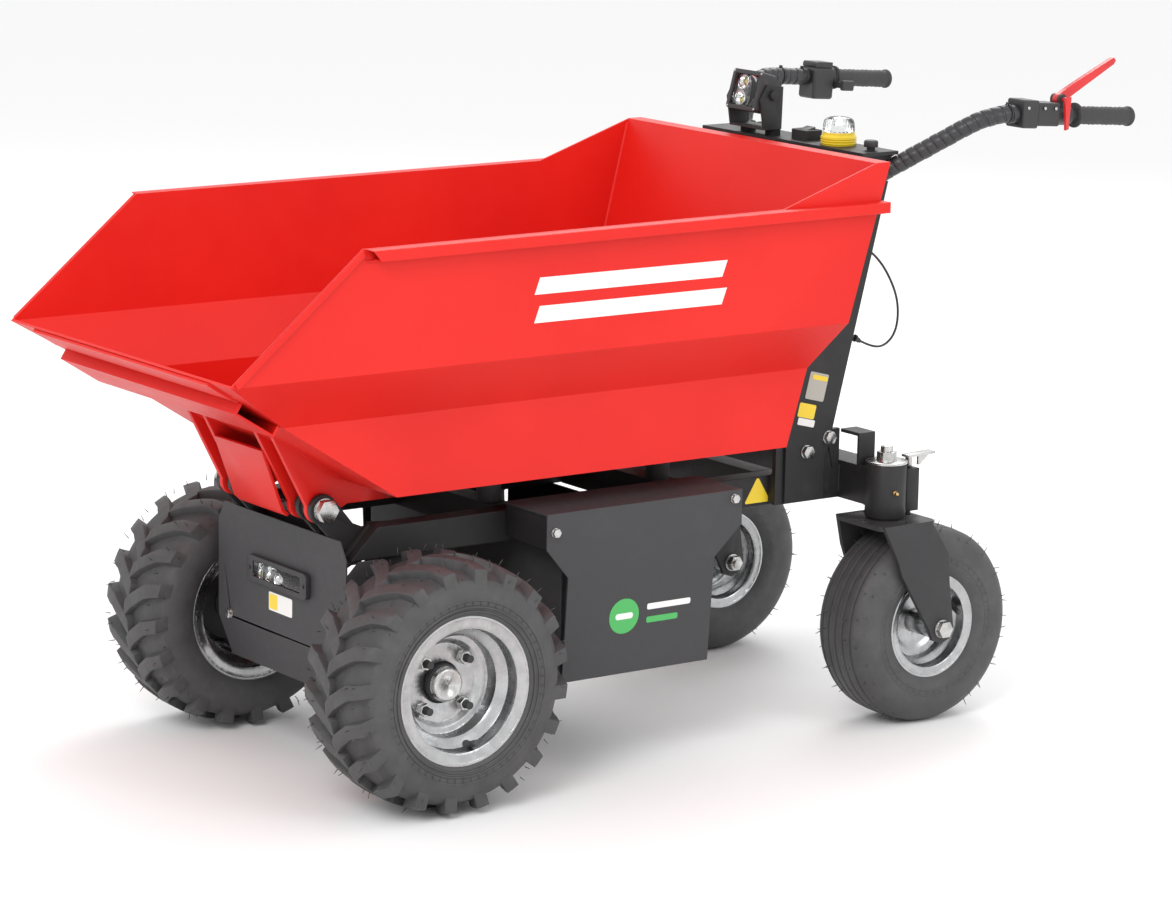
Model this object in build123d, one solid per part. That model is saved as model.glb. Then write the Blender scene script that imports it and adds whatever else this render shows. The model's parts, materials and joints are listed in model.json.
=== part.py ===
"""Battery-driven power wheelbarrow with a front-tipping skip, two driven wheels and two castors.

Frame: +Z up, -Y forward (the skip tips over -Y), +X to the machine's left, ground at Z = 0,
origin midway between the skip's lip and the ends of the grips. Millimetres.
"""
from build123d import *
import os
from math import hypot, pi, radians, sqrt, tan

# ---------------------------------------------------------------- driving dimensions
FIT = 0.05                 # radial clearance of a shaft in its bore
GAP = 0.4                  # space between two bodies that pass or rest on one another

FRONT_R = 200.0            # driven wheel: outside radius over the lugs
FRONT_X = 309.0            # driven wheel: mid-plane
FRONT_Y = -500.0           # driven axle
FRONT_HALF_W = 86.0        # half of the tyre's section width
LUG_H = 13.0               # height of the tread lugs
LUG_COUNT = 20             # lugs on each side of the tread
FRONT_FLANGE_R = 118.0     # rim flange of the 8 inch wheel
FRONT_RIM_HALF = 79.0      # half of the rim's overall width
RIM_T = 4.0                # rim sheet
DISC_X = 11.0              # wheel disc's outer face, outboard of the mid-plane
STUD_PCD = 104.0           # wheel studs
STUD_R = 6.0

CASTOR_R = 167.0           # castor wheel: outside radius
CASTOR_X = 286.0           # castor wheel and kingpin
KINGPIN_Y = 405.0
CASTOR_TRAIL = 67.0        # axle behind the kingpin
CASTOR_HALF_W = 62.0       # half of the castor tyre's section width
CASTOR_FLANGE_R = 88.0     # rim flange of the 6 inch wheel
CASTOR_RIM_HALF = 52.0
FORK_T = 8.0               # fork plate
FORK_IN = 68.0             # inner face of a fork leg from the wheel's mid-plane
KINGPIN_R = 10.0
BARREL_R = 34.0
BARREL_Z0, BARREL_Z1 = 353.0, 443.0

RAIL_IN, RAIL_OUT = 143.0, 180.0    # chassis rail tube, across
RAIL_Z0, RAIL_Z1 = 370.0, 420.0     # chassis rail tube, up
RAIL_Y0, RAIL_Y1 = -577.0, 277.0    # chassis rail tube, along
RAIL_T = 4.0
BEAM_Z0, BEAM_Z1 = 372.0, 435.0     # castor beam
BEAM_HALF = 30.0

PIVOT_Y, PIVOT_Z = -603.0, 449.0    # tipping axis
PIVOT_R = 10.0
LUG_X = (72.0, 122.0)               # inner faces of the skip's pivot lugs
LUG_T = 10.0
PLATE_T = 10.0                      # pivot plates of the chassis
NOSE_R = 24.0                       # rounded end of a lug round the pivot

TUB_T = 4.0                # skip sheet
TUB_HALF = 340.0           # half width above the upper fold
TUB_LOW_HALF = 268.0       # half width below the lower fold
FOLD_A_Z = 697.0           # upper fold along the sides
FOLD_B_Z = 614.0           # lower fold along the sides
FLOOR_Z = 486.0
LIP_Y, LIP_Z = -887.0, 698.0
FRONT_TOP_Y, FRONT_TOP_Z = -660.0, 886.0
KINK_Y, KINK_Z = 132.0, 891.0
BACK_TOP_Y, BACK_TOP_Z = 321.0, 954.0
FLOOR_Y0, FLOOR_Y1 = -550.0, 207.0
BACK_FLANGE = 27.0         # rearward flange along the top of the back wall
RIM_OUT, RIM_DEPTH = 22.0, 18.0
RUNNER_DEPTH = 34.0        # floor runners below the floor

COVER_Y = -593.0           # face of the front cover
COVER_HALF = 192.0
COVER_T = 3.0
COVER_DEPTH = 60.0
COVER_TOP, COVER_BEND, COVER_BOTTOM = 404.0, 214.0, 143.0
COVER_CORNER_W, COVER_CORNER_H = 20.0, 32.0     # cut-off top corners of the cover

BOX_TOP = 435.0            # battery covers
BOX_OUT = 300.0
BOX_BEND, BOX_BOTTOM = 329.0, 156.0
BOX_Y0, BOX_Y1 = -291.0, 93.0
BOX_CHAMFER = 42.0
BOX_LEAN = 13.0            # the lower panel's foot stands this far inboard
BOX_T = 3.0
TRAY_Z = 160.0
BATTERY_X, BATTERY_Y, BATTERY_H = 256.0, 168.0, 200.0

COL_HALF = 205.0           # console column: outer faces of the side plates
COL_T = 6.0
COL_TOP = 945.0
COL_DEPTH = 72.0
COL_REAR_TOP = 469.0       # rear edge at the top
COL_REAR_LOW, COL_LOW_Z = 354.0, 492.0
COL_FOOT_Y0, COL_FOOT_Y1 = 256.0, 338.0
TOP_HALF, TOP_T = 218.0, 6.0
FOOT_T = 10.0              # upright lugs inside the column's feet
FOOT_BOLTS = ((299.0, 458.0), (345.0, 478.0))
FOOT_BOLT_R = 6.0

BAR_R = 12.5               # handlebar tube
WRAP_R = 14.5
GRIP_R, GRIP_FLANGE_R = 15.5, 21.0
GRIP_X = 320.0
GRIP_END = 887.0
BAR_ROOT = (176.0, 434.0, 897.0)
SOCKET_LENGTH = 30.0       # socket on the column that holds the bar's root
BAR_BEND_Y, BAR_BEND_Z = 576.0, 1018.0
BAR_FALL = 0.07            # drop of the straight bar per unit of length
BAR_BEND_R = 94.0

LIGHT_X, LIGHT_Y, LIGHT_Z = -84.0, 400.0, 1020.0
LIGHT_TILT = 15.0          # the lamp leans back
LIGHT_FINS = 7
LIGHT_BOSS, LIGHT_BOLT_R = 3.0, 4.0
LIGHT_LED_X, LIGHT_LED_Z = 14.0, 12.0
LIGHT_W, LIGHT_H, LIGHT_D = 80.0, 68.0, 52.0
BEACON_X, BEACON_Y = 105.0, 430.0
BEACON_R = 29.0
CABLE_R = 2.0              # release cable's sheath

LATCH_Z = 590.0            # striker the latch hook closes over
PIVOT_PLATE_X = LUG_X[1] + LUG_T + 1      # inner face of the outer pivot plates
LAMP_W, LAMP_H, LAMP_Z = 180.0, 42.0, 314.0     # lamp in the front cover
HALF_SHAFT_R = 13.0        # bore of the axle tubes
HANGER_T = 10.0            # plates that hang the drive unit from the rails
COVER_BOLT_X, COVER_BOLT_Z = 154.0, 222.0
TRAY_Y0, TRAY_Y1 = BOX_Y0 + BOX_CHAMFER + 2, BOX_Y1 - BOX_CHAMFER - 16
LOCK_Y = KINGPIN_Y + BARREL_R + 14        # swivel lock's pin
LOCK_HALF = 13.0           # half of the lock housing's width
LOCK_Z0, LOCK_Z1 = 358.0, 430.0
LOCK_R = 6.0
LOCK_DROP = 12.0           # travel of the pin down into the fork's crown
KNOB_X, KNOB_STEM_R, KNOB_TRAVEL = 190.0, 7.0, 5.0      # push knob
KNOB_STEM = 17.0           # stem below the console's top
ROCKER_X, ROCKER_Y = 20.0, 430.0
ROCKER_AXIS = 12.0         # rocker's cross pin above the console's top
ROCKER_PIN_R = 1.5
HUB_R = 30.0               # driven wheel's hub
AXLE_R = 8.0               # castor axle
AXLE_SPACE = FORK_IN - 8.0        # half length of the wheel hub
WRAP_END_LEFT, WRAP_END_RIGHT = 628.0, 697.0    # rear ends of the looms round the bars
GRIP_START = 758.0
LEVER_Y, LEVER_Z = 724.0, 1034.0    # release lever's pivot
LEVER_PIN_R = 3.0
BUTTON_R = 5.0             # horn button
BUTTON_Y = WRAP_END_LEFT + 18
TAIL_X = (19.8, 24.8)       # the release lever's tail, outboard of the bar's centre
HOOK_PIN_R = 5.0
HOOK_OPEN = 60.0           # the hook stands open by this angle
CABLE_POINTS = [
    (185, 421, 792),
    (185, 448, 777),
    (185, 482, 738),
    (185, 505, 690),
    (185, 503, 640),
    (185, 475, 615),
    (185, 438, 622),
    (185, 404, 641),
]
COVER_BOLT_R = 4.0         # bolts of the battery covers and the front cover
FLANK_BOLTS = ((BOX_Y0 + 16, BOX_TOP - 30), (BOX_Y1 - 16, BOX_TOP - 14))
FORK_TOP = 350.0           # top of the castor fork's crown

NODES = {}


# ---------------------------------------------------------------- helpers
def add(name, *shapes):
    """File every solid of the shapes under the node's name."""
    for shape in shapes:
        NODES.setdefault(name, []).extend(shape.solids())


def add_pair(name, *shapes):
    """File left-hand shapes under name_left and their mirror images under name_right."""
    add(f"{name}_left", *shapes)
    add(f"{name}_right", *[right(shape) for shape in shapes])


def right(shape):
    """The left-hand shape mirrored to the right."""
    return mirror(shape, about=Plane.YZ)


def both(*shapes):
    """The shapes and their mirror images in the machine's centre plane."""
    return [*shapes, *[right(shape) for shape in shapes]]


def box(x0, x1, y0, y1, z0, z1):
    return Pos((x0 + x1) / 2, (y0 + y1) / 2, (z0 + z1) / 2) * Box(x1 - x0, y1 - y0, z1 - z0)


def rod_x(y, z, r, x0, x1):
    return Pos((x0 + x1) / 2, y, z) * Rot(0, 90, 0) * Cylinder(r, x1 - x0)


def rod_y(x, z, r, y0, y1):
    return Pos(x, (y0 + y1) / 2, z) * Rot(90, 0, 0) * Cylinder(r, y1 - y0)


def rod_z(x, y, r, z0, z1):
    return Pos(x, y, (z0 + z1) / 2) * Cylinder(r, z1 - z0)


def prism_x(points, x0, x1):
    """Outline of (y, z) points, from x0 to x1."""
    face = make_face(Polyline(*[(x0, y, z) for y, z in points], close=True))
    return extrude(face, amount=x1 - x0, dir=(1, 0, 0))


def prism_y(points, y0, y1):
    """Outline of (x, z) points, from y0 to y1."""
    face = make_face(Polyline(*[(x, y0, z) for x, z in points], close=True))
    return extrude(face, amount=y1 - y0, dir=(0, 1, 0))


def prism_z(points, z0, z1):
    """Outline of (x, y) points, from z0 to z1."""
    face = make_face(Polyline(*[(x, y, z0) for x, y in points], close=True))
    return extrude(face, amount=z1 - z0, dir=(0, 0, 1))


def turned_x(points):
    """Solid of revolution about the X axis from (x, r) points."""
    face = make_face(Polyline(*[(x, 0, r) for x, r in points], close=True))
    return revolve(face, Axis.X)


def turned_z(points):
    """Solid of revolution about the Z axis from (r, z) points."""
    face = make_face(Polyline(*[(r, 0, z) for r, z in points], close=True))
    return revolve(face, Axis.Z)


def offset_path(points, t):
    """The polyline moved t to its left, with mitred corners."""
    moved = []
    for i, (a, b) in enumerate(points):
        dirs = []
        if i > 0:
            dirs.append((a - points[i - 1][0], b - points[i - 1][1]))
        if i < len(points) - 1:
            dirs.append((points[i + 1][0] - a, points[i + 1][1] - b))
        normals = [(-q / hypot(p, q), p / hypot(p, q)) for p, q in dirs]
        nx = sum(n[0] for n in normals) / len(normals)
        ny = sum(n[1] for n in normals) / len(normals)
        scale = t / (nx * nx + ny * ny)
        moved.append((a + nx * scale, b + ny * scale))
    return moved


def folded(points, t):
    """Closed outline of a sheet folded along the polyline, t thick to its left."""
    return [*points, *reversed(offset_path(points, t))]


def hex_x(y, z, flats, x0, x1):
    hexagon = Plane.YZ.offset(x0) * Pos(y, z) * RegularPolygon(flats / 2, 6, major_radius=False)
    return extrude(hexagon, amount=x1 - x0, dir=(1, 0, 0))


def hex_z(x, y, flats, z0, z1):
    return extrude(Pos(x, y, z0) * RegularPolygon(flats / 2, 6, major_radius=False), amount=z1 - z0)


def bolt_x(y, z, r, face, grip):
    """Hexagon bolt with its washer on the plane x = face; the shank runs grip inboard (towards -X)."""
    washer = rod_x(y, z, r * 1.9, face, face + r * 0.3)
    head = hex_x(y, z, r * 3.2, face + r * 0.3, face + r * 1.6)
    return washer + head + rod_x(y, z, r, face - grip, face + r * 0.3)


# ---------------------------------------------------------------- skip
def chute_z(y):
    """Underside of the chute and floor."""
    if y > FLOOR_Y0:
        return FLOOR_Z
    return FLOOR_Z + (FLOOR_Y0 - y) * (LIP_Z - FLOOR_Z) / (FLOOR_Y0 - LIP_Y)


def back_y(z):
    """Rear face of the back wall."""
    return FLOOR_Y1 + (z - FLOOR_Z) * (BACK_TOP_Y - FLOOR_Y1) / (BACK_TOP_Z - FLOOR_Z)


def cross_section(inset):
    """Skip cross-section, the wall inset by a thickness."""
    slope = (TUB_HALF - TUB_LOW_HALF) / (FOLD_A_Z - FOLD_B_Z)
    drop = inset * (sqrt(1 + slope * slope) - 1) / slope
    half, low = TUB_HALF - inset, TUB_LOW_HALF - inset
    side = [(low, 0), (low, FOLD_B_Z + drop), (half, FOLD_A_Z + drop), (half, 1200)]
    return [*side, *[(-x, z) for x, z in reversed(side)]]


def tub_shell():
    """Side walls, chute and floor, folded from one sheet."""
    side = [
        (LIP_Y, LIP_Z),
        (FRONT_TOP_Y, FRONT_TOP_Z),
        (KINK_Y, KINK_Z),
        (BACK_TOP_Y, BACK_TOP_Z),
        (BACK_TOP_Y + BACK_FLANGE, BACK_TOP_Z),
        (FLOOR_Y1, FLOOR_Z),
        (FLOOR_Y0, FLOOR_Z),
    ]
    outer = prism_x(side, -TUB_HALF, TUB_HALF) & prism_y(cross_section(0), LIP_Y, 400)
    ahead, behind = LIP_Y - 200, FLOOR_Y1 + 400
    floor_line = [(ahead, chute_z(ahead)), (FLOOR_Y0, FLOOR_Z), (behind, FLOOR_Z)]
    inner_floor = offset_path(floor_line, TUB_T)
    cavity = prism_x([*inner_floor, (behind, 1200), (ahead, 1200)], -TUB_HALF, TUB_HALF)
    return outer - (cavity & prism_y(cross_section(TUB_T), ahead, behind))


def tub_rear_wall():
    """Back wall between the sides, with its rearward flange."""
    foot = (back_y(FLOOR_Z + TUB_T), FLOOR_Z + TUB_T)
    path = [foot, (BACK_TOP_Y, BACK_TOP_Z), (BACK_TOP_Y + BACK_FLANGE, BACK_TOP_Z)]
    wall = prism_x(folded([foot, (BACK_TOP_Y, BACK_TOP_Z)], TUB_T), -TUB_HALF, TUB_HALF)
    flange = box(-TUB_HALF, TUB_HALF, path[1][0] - TUB_T, path[2][0], BACK_TOP_Z - TUB_T, BACK_TOP_Z)
    below_top = box(-TUB_HALF, TUB_HALF, 0, 500, FLOOR_Z + TUB_T, BACK_TOP_Z)
    inside = prism_y(cross_section(TUB_T), 0, 500)
    return (wall + flange) & inside & below_top


def tub_rims():
    """Outward C-section along each side wall's top, and a stiffening strip up its front edge."""
    start, end = FRONT_TOP_Y, BACK_TOP_Y + 12
    slope = (KINK_Z - FRONT_TOP_Z) / (KINK_Y - FRONT_TOP_Y)
    t = 3.0
    section = [
        (TUB_HALF, -RIM_DEPTH),
        (TUB_HALF + RIM_OUT, -RIM_DEPTH),
        (TUB_HALF + RIM_OUT, 0),
        (TUB_HALF, 0),
        (TUB_HALF, -t),
        (TUB_HALF + RIM_OUT - t, -t),
        (TUB_HALF + RIM_OUT - t, -RIM_DEPTH + t),
        (TUB_HALF, -RIM_DEPTH + t),
    ]
    face = make_face(Polyline(*[(x, start, FRONT_TOP_Z + z) for x, z in section], close=True))
    length = end - start
    rail = extrude(face, amount=length * sqrt(1 + slope * slope), dir=(0, 1, slope))
    mitre = prism_x(
        [(start, FRONT_TOP_Z + 5), (start + 24, FRONT_TOP_Z - RIM_DEPTH - 5), (start - 9, FRONT_TOP_Z - 40)],
        TUB_HALF, TUB_HALF + RIM_OUT + 5,
    )
    edge = [(LIP_Y + 6, LIP_Z + 5), (FRONT_TOP_Y - 2, FRONT_TOP_Z - 1)]
    strip = prism_x(folded(edge, -10), TUB_HALF, TUB_HALF + 5)
    return both(rail - mitre, strip)


def chute_band(y0, y1, depth, x0, x1):
    """Plate against the underside of the chute."""
    line = [(y0, chute_z(y0)), (y1, chute_z(y1))]
    return prism_x(folded(line, -depth), x0, x1)


def lip_stiffener():
    """Folded hat section under the lip and the bent bracket that ties it to the pivot legs."""
    lip = chute_band(LIP_Y + 4, LIP_Y + 46, 5, -TUB_HALF + 70, TUB_HALF - 70)
    hat = chute_band(LIP_Y + 60, LIP_Y + 128, 20, -TUB_LOW_HALF, TUB_LOW_HALF)
    hollow = chute_band(LIP_Y + 64, LIP_Y + 124, 16, -TUB_LOW_HALF - 1, TUB_LOW_HALF + 1)
    return [lip, hat - hollow]


def leg_outline():
    """One pivot lug plate in side view, without its rounded nose."""
    low = FLOOR_Z - RUNNER_DEPTH
    return [
        (-690, chute_z(-690)),
        (PIVOT_Y - NOSE_R * 0.98, PIVOT_Z + NOSE_R * 0.2),
        (PIVOT_Y - NOSE_R * 0.2, PIVOT_Z - NOSE_R * 0.98),
        (PIVOT_Y + 50, low),
        (FLOOR_Y0 + 70, low),
        (FLOOR_Y0 + 70, FLOOR_Z),
        (FLOOR_Y0, FLOOR_Z),
    ]


def tub_legs():
    """Lug plates round the tipping axis, floor runners, chute doubler and cross tie."""
    plates = []
    for x in LUG_X:
        plate = prism_x(leg_outline(), x, x + LUG_T) + rod_x(PIVOT_Y, PIVOT_Z, NOSE_R, x, x + LUG_T)
        plate -= rod_x(PIVOT_Y, PIVOT_Z, PIVOT_R + FIT, x - 1, x + LUG_T + 1)
        plates.append(plate)
    wall = 4.0
    x0, x1 = LUG_X[0], LUG_X[1] + LUG_T
    y0, y1 = FLOOR_Y0 + 70, FLOOR_Y1 - 12
    low = FLOOR_Z - RUNNER_DEPTH
    runner = box(x0, x1, y0, y1, low, FLOOR_Z) - box(x0 + wall, x1 - wall, y0 - 1, y1 + 1, low - 1, FLOOR_Z - wall)
    tie_path = [(-668, 538), (-631, 440), (-622, 432)]
    tie = prism_x(folded(tie_path, -5), -LUG_X[0], LUG_X[0])
    return [*both(*plates, runner), tie]


STRIKER_Y = back_y(LATCH_Z) + 26
LATCH_PIN_Y, LATCH_PIN_Z = STRIKER_Y + 46, LATCH_Z + 4


def striker():
    """Loop on the back wall that the latch hook closes over."""
    z = LATCH_Z
    y = back_y(z)
    stem = box(-26, -20, y + 4, STRIKER_Y + 8, z - 10, z + 10)
    foot = prism_x(folded([(back_y(z - 24), z - 24), (back_y(z + 24), z + 24)], -4), -34, 34)
    return foot + stem + right(stem) + rod_x(STRIKER_Y, z, 5, -26, 26)


def make_tub():
    add("tub_shell", tub_shell())
    add("tub_rear_wall", tub_rear_wall())
    add("tub_rims", *tub_rims())
    add("lip_stiffener", *lip_stiffener())
    add("tub_legs", *tub_legs(), striker())


# ---------------------------------------------------------------- chassis
def rail():
    """Rail tube, its front end cut back at 45 degrees and closed."""
    rise = RAIL_Z1 - RAIL_Z0
    outline = [(RAIL_Y0, RAIL_Z0), (RAIL_Y0 + rise, RAIL_Z1), (RAIL_Y1, RAIL_Z1), (RAIL_Y1, RAIL_Z0)]
    tube = prism_x(outline, RAIL_IN, RAIL_OUT)
    cheek = 10.0
    recess_y = 4.0
    nose = prism_x(
        [(RAIL_Y0 - 20, RAIL_Z0 - 20 + 14), (RAIL_Y0 + rise, RAIL_Z1 + 14), (RAIL_Y0 + rise, RAIL_Z1 - recess_y)]
        + [(RAIL_Y0 + 6, RAIL_Z0 - 1), (RAIL_Y0 - 20, RAIL_Z0 - 1)],
        RAIL_IN + cheek, RAIL_OUT - cheek,
    )
    bore = box(
        RAIL_IN + RAIL_T, RAIL_OUT - RAIL_T, RAIL_Y0 + rise + 30, RAIL_Y1 + 1, RAIL_Z0 + RAIL_T, RAIL_Z1 - RAIL_T
    )
    return tube - nose - bore


def hollow_bar(x0, x1, y0, y1, z0, z1):
    """Rectangular tube laid across the machine."""
    t = RAIL_T
    return box(x0, x1, y0, y1, z0, z1) - box(x0 - 1, x1 + 1, y0 + t, y1 - t, z0 + t, z1 - t)


def cross_members():
    """Tubes between and outboard of the rails."""
    front = hollow_bar(-PIVOT_PLATE_X, PIVOT_PLATE_X, -560, -520, RAIL_Z0, RAIL_Z0 + 40)
    bars = [front]
    for y in (BOX_Y0 + 4, BOX_Y1 - 44):
        bars.append(hollow_bar(-RAIL_IN, RAIL_IN, y, y + 40, RAIL_Z0, RAIL_Z1))
        bars += both(hollow_bar(RAIL_OUT, BOX_OUT - BOX_T, y, y + 40, RAIL_Z1 - 42, BOX_TOP - BOX_T))
    bars.append(hollow_bar(-RAIL_IN, RAIL_IN, RAIL_Y1 - 40, RAIL_Y1, RAIL_Z0, RAIL_Z1))
    bars += both(box(RAIL_IN + 4, RAIL_OUT - 4, COVER_Y + COVER_T, RAIL_Y0 + 24, RAIL_Z0 - 6, RAIL_Z0))
    return bars


def pivot_plate(x0, x1, rear):
    """Chassis plate round the tipping axis."""
    outline = [
        (PIVOT_Y - NOSE_R * 0.95, PIVOT_Z - NOSE_R * 0.3),
        (COVER_Y, COVER_TOP + 1),
        (COVER_Y + COVER_T + GAP, COVER_TOP + 1),
        (COVER_Y + COVER_T + GAP, RAIL_Z0),
        (rear, RAIL_Z0),
        (rear, RAIL_Z0 + 40),
        (PIVOT_Y + 60, RAIL_Z0 + 44),
        (PIVOT_Y + NOSE_R * 0.7, PIVOT_Z + NOSE_R * 0.71),
    ]
    plate = prism_x(outline, x0, x1) + rod_x(PIVOT_Y, PIVOT_Z, NOSE_R, x0, x1)
    return plate - rod_x(PIVOT_Y, PIVOT_Z, PIVOT_R + FIT, x0 - 1, x1 + 1)


def pivot_plates():
    outer = pivot_plate(PIVOT_PLATE_X, PIVOT_PLATE_X + PLATE_T, -450)
    cut_for_tube = box(-200, 200, -560, -520, RAIL_Z0, RAIL_Z0 + 40)
    middle = (LUG_X[0] + LUG_T + LUG_X[1]) / 2
    inner = pivot_plate(middle - PLATE_T / 2, middle + PLATE_T / 2, -520) - cut_for_tube
    boss_in = LUG_X[0] + LUG_T + GAP
    boss_out = LUG_X[1] - GAP
    boss = rod_x(PIVOT_Y, PIVOT_Z, PIVOT_R + 7, boss_in, boss_out)
    boss -= rod_x(PIVOT_Y, PIVOT_Z, PIVOT_R + FIT, boss_in - 1, boss_out + 1)
    return both(outer, inner + boss)


def pivot_bolts():
    """Tipping pins: hexagon head and washer outboard, nut inboard of the inner lug."""
    face = PIVOT_PLATE_X + PLATE_T
    end = LUG_X[0] - 18
    bolt = bolt_x(PIVOT_Y, PIVOT_Z, PIVOT_R, face, face - end + 4)
    nut = hex_x(PIVOT_Y, PIVOT_Z, 30, end, LUG_X[0] - GAP)
    return both(bolt + nut)


def front_cover():
    """Folded sheet over the drive: face, foot swept rearward and side flanges."""
    path = [(COVER_Y, COVER_TOP), (COVER_Y, COVER_BEND), (COVER_Y + 26, COVER_BOTTOM)]
    face = prism_x(folded(path, COVER_T), -COVER_HALF, COVER_HALF)
    depth, side_top = COVER_DEPTH, COVER_TOP - COVER_CORNER_H
    side = [
        (COVER_Y, side_top - 24),
        (COVER_Y + 24, side_top),
        (COVER_Y + depth, side_top),
        (COVER_Y + depth, COVER_BOTTOM),
        (COVER_Y + 26, COVER_BOTTOM),
        (COVER_Y, COVER_BEND),
    ]
    side_plate = prism_x(side, COVER_HALF - COVER_T, COVER_HALF)
    top, half = COVER_TOP + 1, COVER_HALF + 1
    cut = [(half, top), (half - COVER_CORNER_W, top), (half, top - COVER_CORNER_H)]
    corner = prism_y(cut, COVER_Y - 1, COVER_Y + COVER_T)
    cover = face + side_plate + right(side_plate)
    for piece in both(corner):
        cover -= piece
    for x in (-COVER_BOLT_X, COVER_BOLT_X):
        cover -= rod_y(x, COVER_BOLT_Z, COVER_BOLT_R + FIT, COVER_Y - 1, COVER_Y + COVER_T + 1)
    window = box(-LAMP_W / 2 + 10, LAMP_W / 2 - 10, COVER_Y - 5, COVER_Y + 5, LAMP_Z - 15, LAMP_Z + 15)
    return cover - window


def front_lamp():
    """Slim lamp let into the cover: bezel with its tub behind, lens in front, two screws."""
    bezel = box(-LAMP_W / 2, LAMP_W / 2, COVER_Y - 9, COVER_Y, LAMP_Z - LAMP_H / 2, LAMP_Z + LAMP_H / 2)
    bezel = fillet(bezel.edges().filter_by(Axis.Y), 9)
    body = box(-LAMP_W / 2 + 12, LAMP_W / 2 - 12, COVER_Y, COVER_Y + 20, LAMP_Z - 14, LAMP_Z + 14)
    well = box(-LAMP_W / 2 + 19, LAMP_W / 2 - 19, COVER_Y - 10, COVER_Y + 14, LAMP_Z - 13, LAMP_Z + 13)
    housing = bezel + body - well
    screws = both(rod_y(LAMP_W / 2 - 9, LAMP_Z, 3, COVER_Y - 11, COVER_Y - 9))
    lens = box(-LAMP_W / 2 + 19, LAMP_W / 2 - 19, COVER_Y - 8, COVER_Y - 4, LAMP_Z - 13, LAMP_Z + 13)
    leds = []
    for i in range(6):
        for j in (-1, 1):
            x = (i - 2.5) * 22
            cup = Pos(x, COVER_Y + 9, LAMP_Z + 6.5 * j) * Rot(90, 0, 0) * Cone(3, 5.8, 10)
            leds.append(cup)
    return housing, screws, lens, leds


def transaxle():
    """Differential case with its axle tubes, the drive motor and the hangers to the rails."""
    case = rod_x(FRONT_Y, FRONT_R, 72, -46, 46)
    tube_end = FRONT_X - 8 - GAP
    case += rod_x(FRONT_Y, FRONT_R, 26, -tube_end, tube_end)
    for x in both(rod_x(FRONT_Y, FRONT_R, 42, 46, 74)):
        case += x
    gearbox = rod_y(0, FRONT_R + 50, 46, FRONT_Y, FRONT_Y + 96)
    case += gearbox
    case -= rod_x(FRONT_Y, FRONT_R, HALF_SHAFT_R + FIT, -tube_end - 1, -120)
    case -= rod_x(FRONT_Y, FRONT_R, HALF_SHAFT_R + FIT, 120, tube_end + 1)
    motor_end = TRAY_Y0 - 10
    motor = rod_y(0, FRONT_R + 50, 56, FRONT_Y + 96, motor_end)
    motor += rod_y(0, FRONT_R + 50, 30, motor_end, motor_end + 4)
    x0 = COVER_BOLT_X - HANGER_T / 2
    hanger = box(x0, x0 + HANGER_T, FRONT_Y - 30, FRONT_Y + 30, FRONT_R, RAIL_Z0)
    hanger += box(x0, x0 + HANGER_T, COVER_Y + COVER_T, FRONT_Y - 30, COVER_BOLT_Z - 6, COVER_BOLT_Z + 14)
    hanger -= rod_x(FRONT_Y, FRONT_R, 26, RAIL_IN, RAIL_IN + 30)
    return case, motor, both(hanger)


def battery_cover():
    """Left cover: flat top, upright flank with cut corners and a lower panel that leans in."""
    top = box(RAIL_OUT, BOX_OUT, BOX_Y0, BOX_Y1, BOX_TOP - BOX_T, BOX_TOP)
    knee = BOX_BEND + BOX_CHAMFER + 7
    flank = [
        (BOX_Y0, BOX_TOP),
        (BOX_Y0, knee),
        (BOX_Y0 + BOX_CHAMFER, BOX_BEND),
        (BOX_Y0 + BOX_CHAMFER, BOX_BOTTOM),
        (BOX_Y1 - BOX_CHAMFER - 12, BOX_BOTTOM),
        (BOX_Y1 - BOX_CHAMFER - 12, BOX_BEND),
        (BOX_Y1, knee),
        (BOX_Y1, BOX_TOP),
    ]
    outline = prism_x(flank, 0, BOX_OUT + 5)
    skin_path = [(BOX_OUT - BOX_LEAN, BOX_BOTTOM), (BOX_OUT, BOX_BEND), (BOX_OUT, BOX_TOP)]
    skin = prism_y(folded(skin_path, BOX_T), BOX_Y0, BOX_Y1)
    cover = top + (skin & outline)
    for y, z in FLANK_BOLTS:
        cover -= rod_x(y, z, COVER_BOLT_R + FIT, BOX_OUT - BOX_T - 1, BOX_OUT + 1)
    return cover


def battery_tray():
    """Pan under the rails that carries the batteries."""
    x1 = BOX_OUT - BOX_LEAN - 10
    y0, y1 = TRAY_Y0, TRAY_Y1
    t = 3.0
    pan = box(-x1, x1, y0, y1, TRAY_Z, TRAY_Z + t)
    pan += box(-x1, x1, y0, y0 + t, TRAY_Z, RAIL_Z0)
    pan += box(-x1, x1, y1 - t, y1, TRAY_Z, RAIL_Z0)
    return pan


def batteries():
    """Two block batteries side by side, each with a lid and two posts."""
    y0 = BOX_Y0 + BOX_CHAMFER + 12
    z0 = TRAY_Z + 3
    block = box(6, 6 + BATTERY_X, y0, y0 + BATTERY_Y, z0, z0 + BATTERY_H - 22)
    lid = box(4, 8 + BATTERY_X, y0 - 2, y0 + BATTERY_Y + 2, z0 + BATTERY_H - 22, z0 + BATTERY_H - 12)
    posts = [rod_z(x, y0 + 24, 8, z0 + BATTERY_H - 12, z0 + BATTERY_H) for x in (40, 6 + BATTERY_X - 34)]
    return both(block + lid + posts[0] + posts[1])


def motor_controller():
    """Finned controller on the tray behind the batteries."""
    y0 = BOX_Y0 + BOX_CHAMFER + 12 + BATTERY_Y + 14
    z0 = TRAY_Z + 3
    base = box(-90, 90, y0, y0 + 70, z0, z0 + 30)
    for i in range(9):
        x = -80 + i * 20
        base += box(x - 2, x + 2, y0 + 2, y0 + 68, z0 + 30, z0 + 50)
    return base


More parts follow.
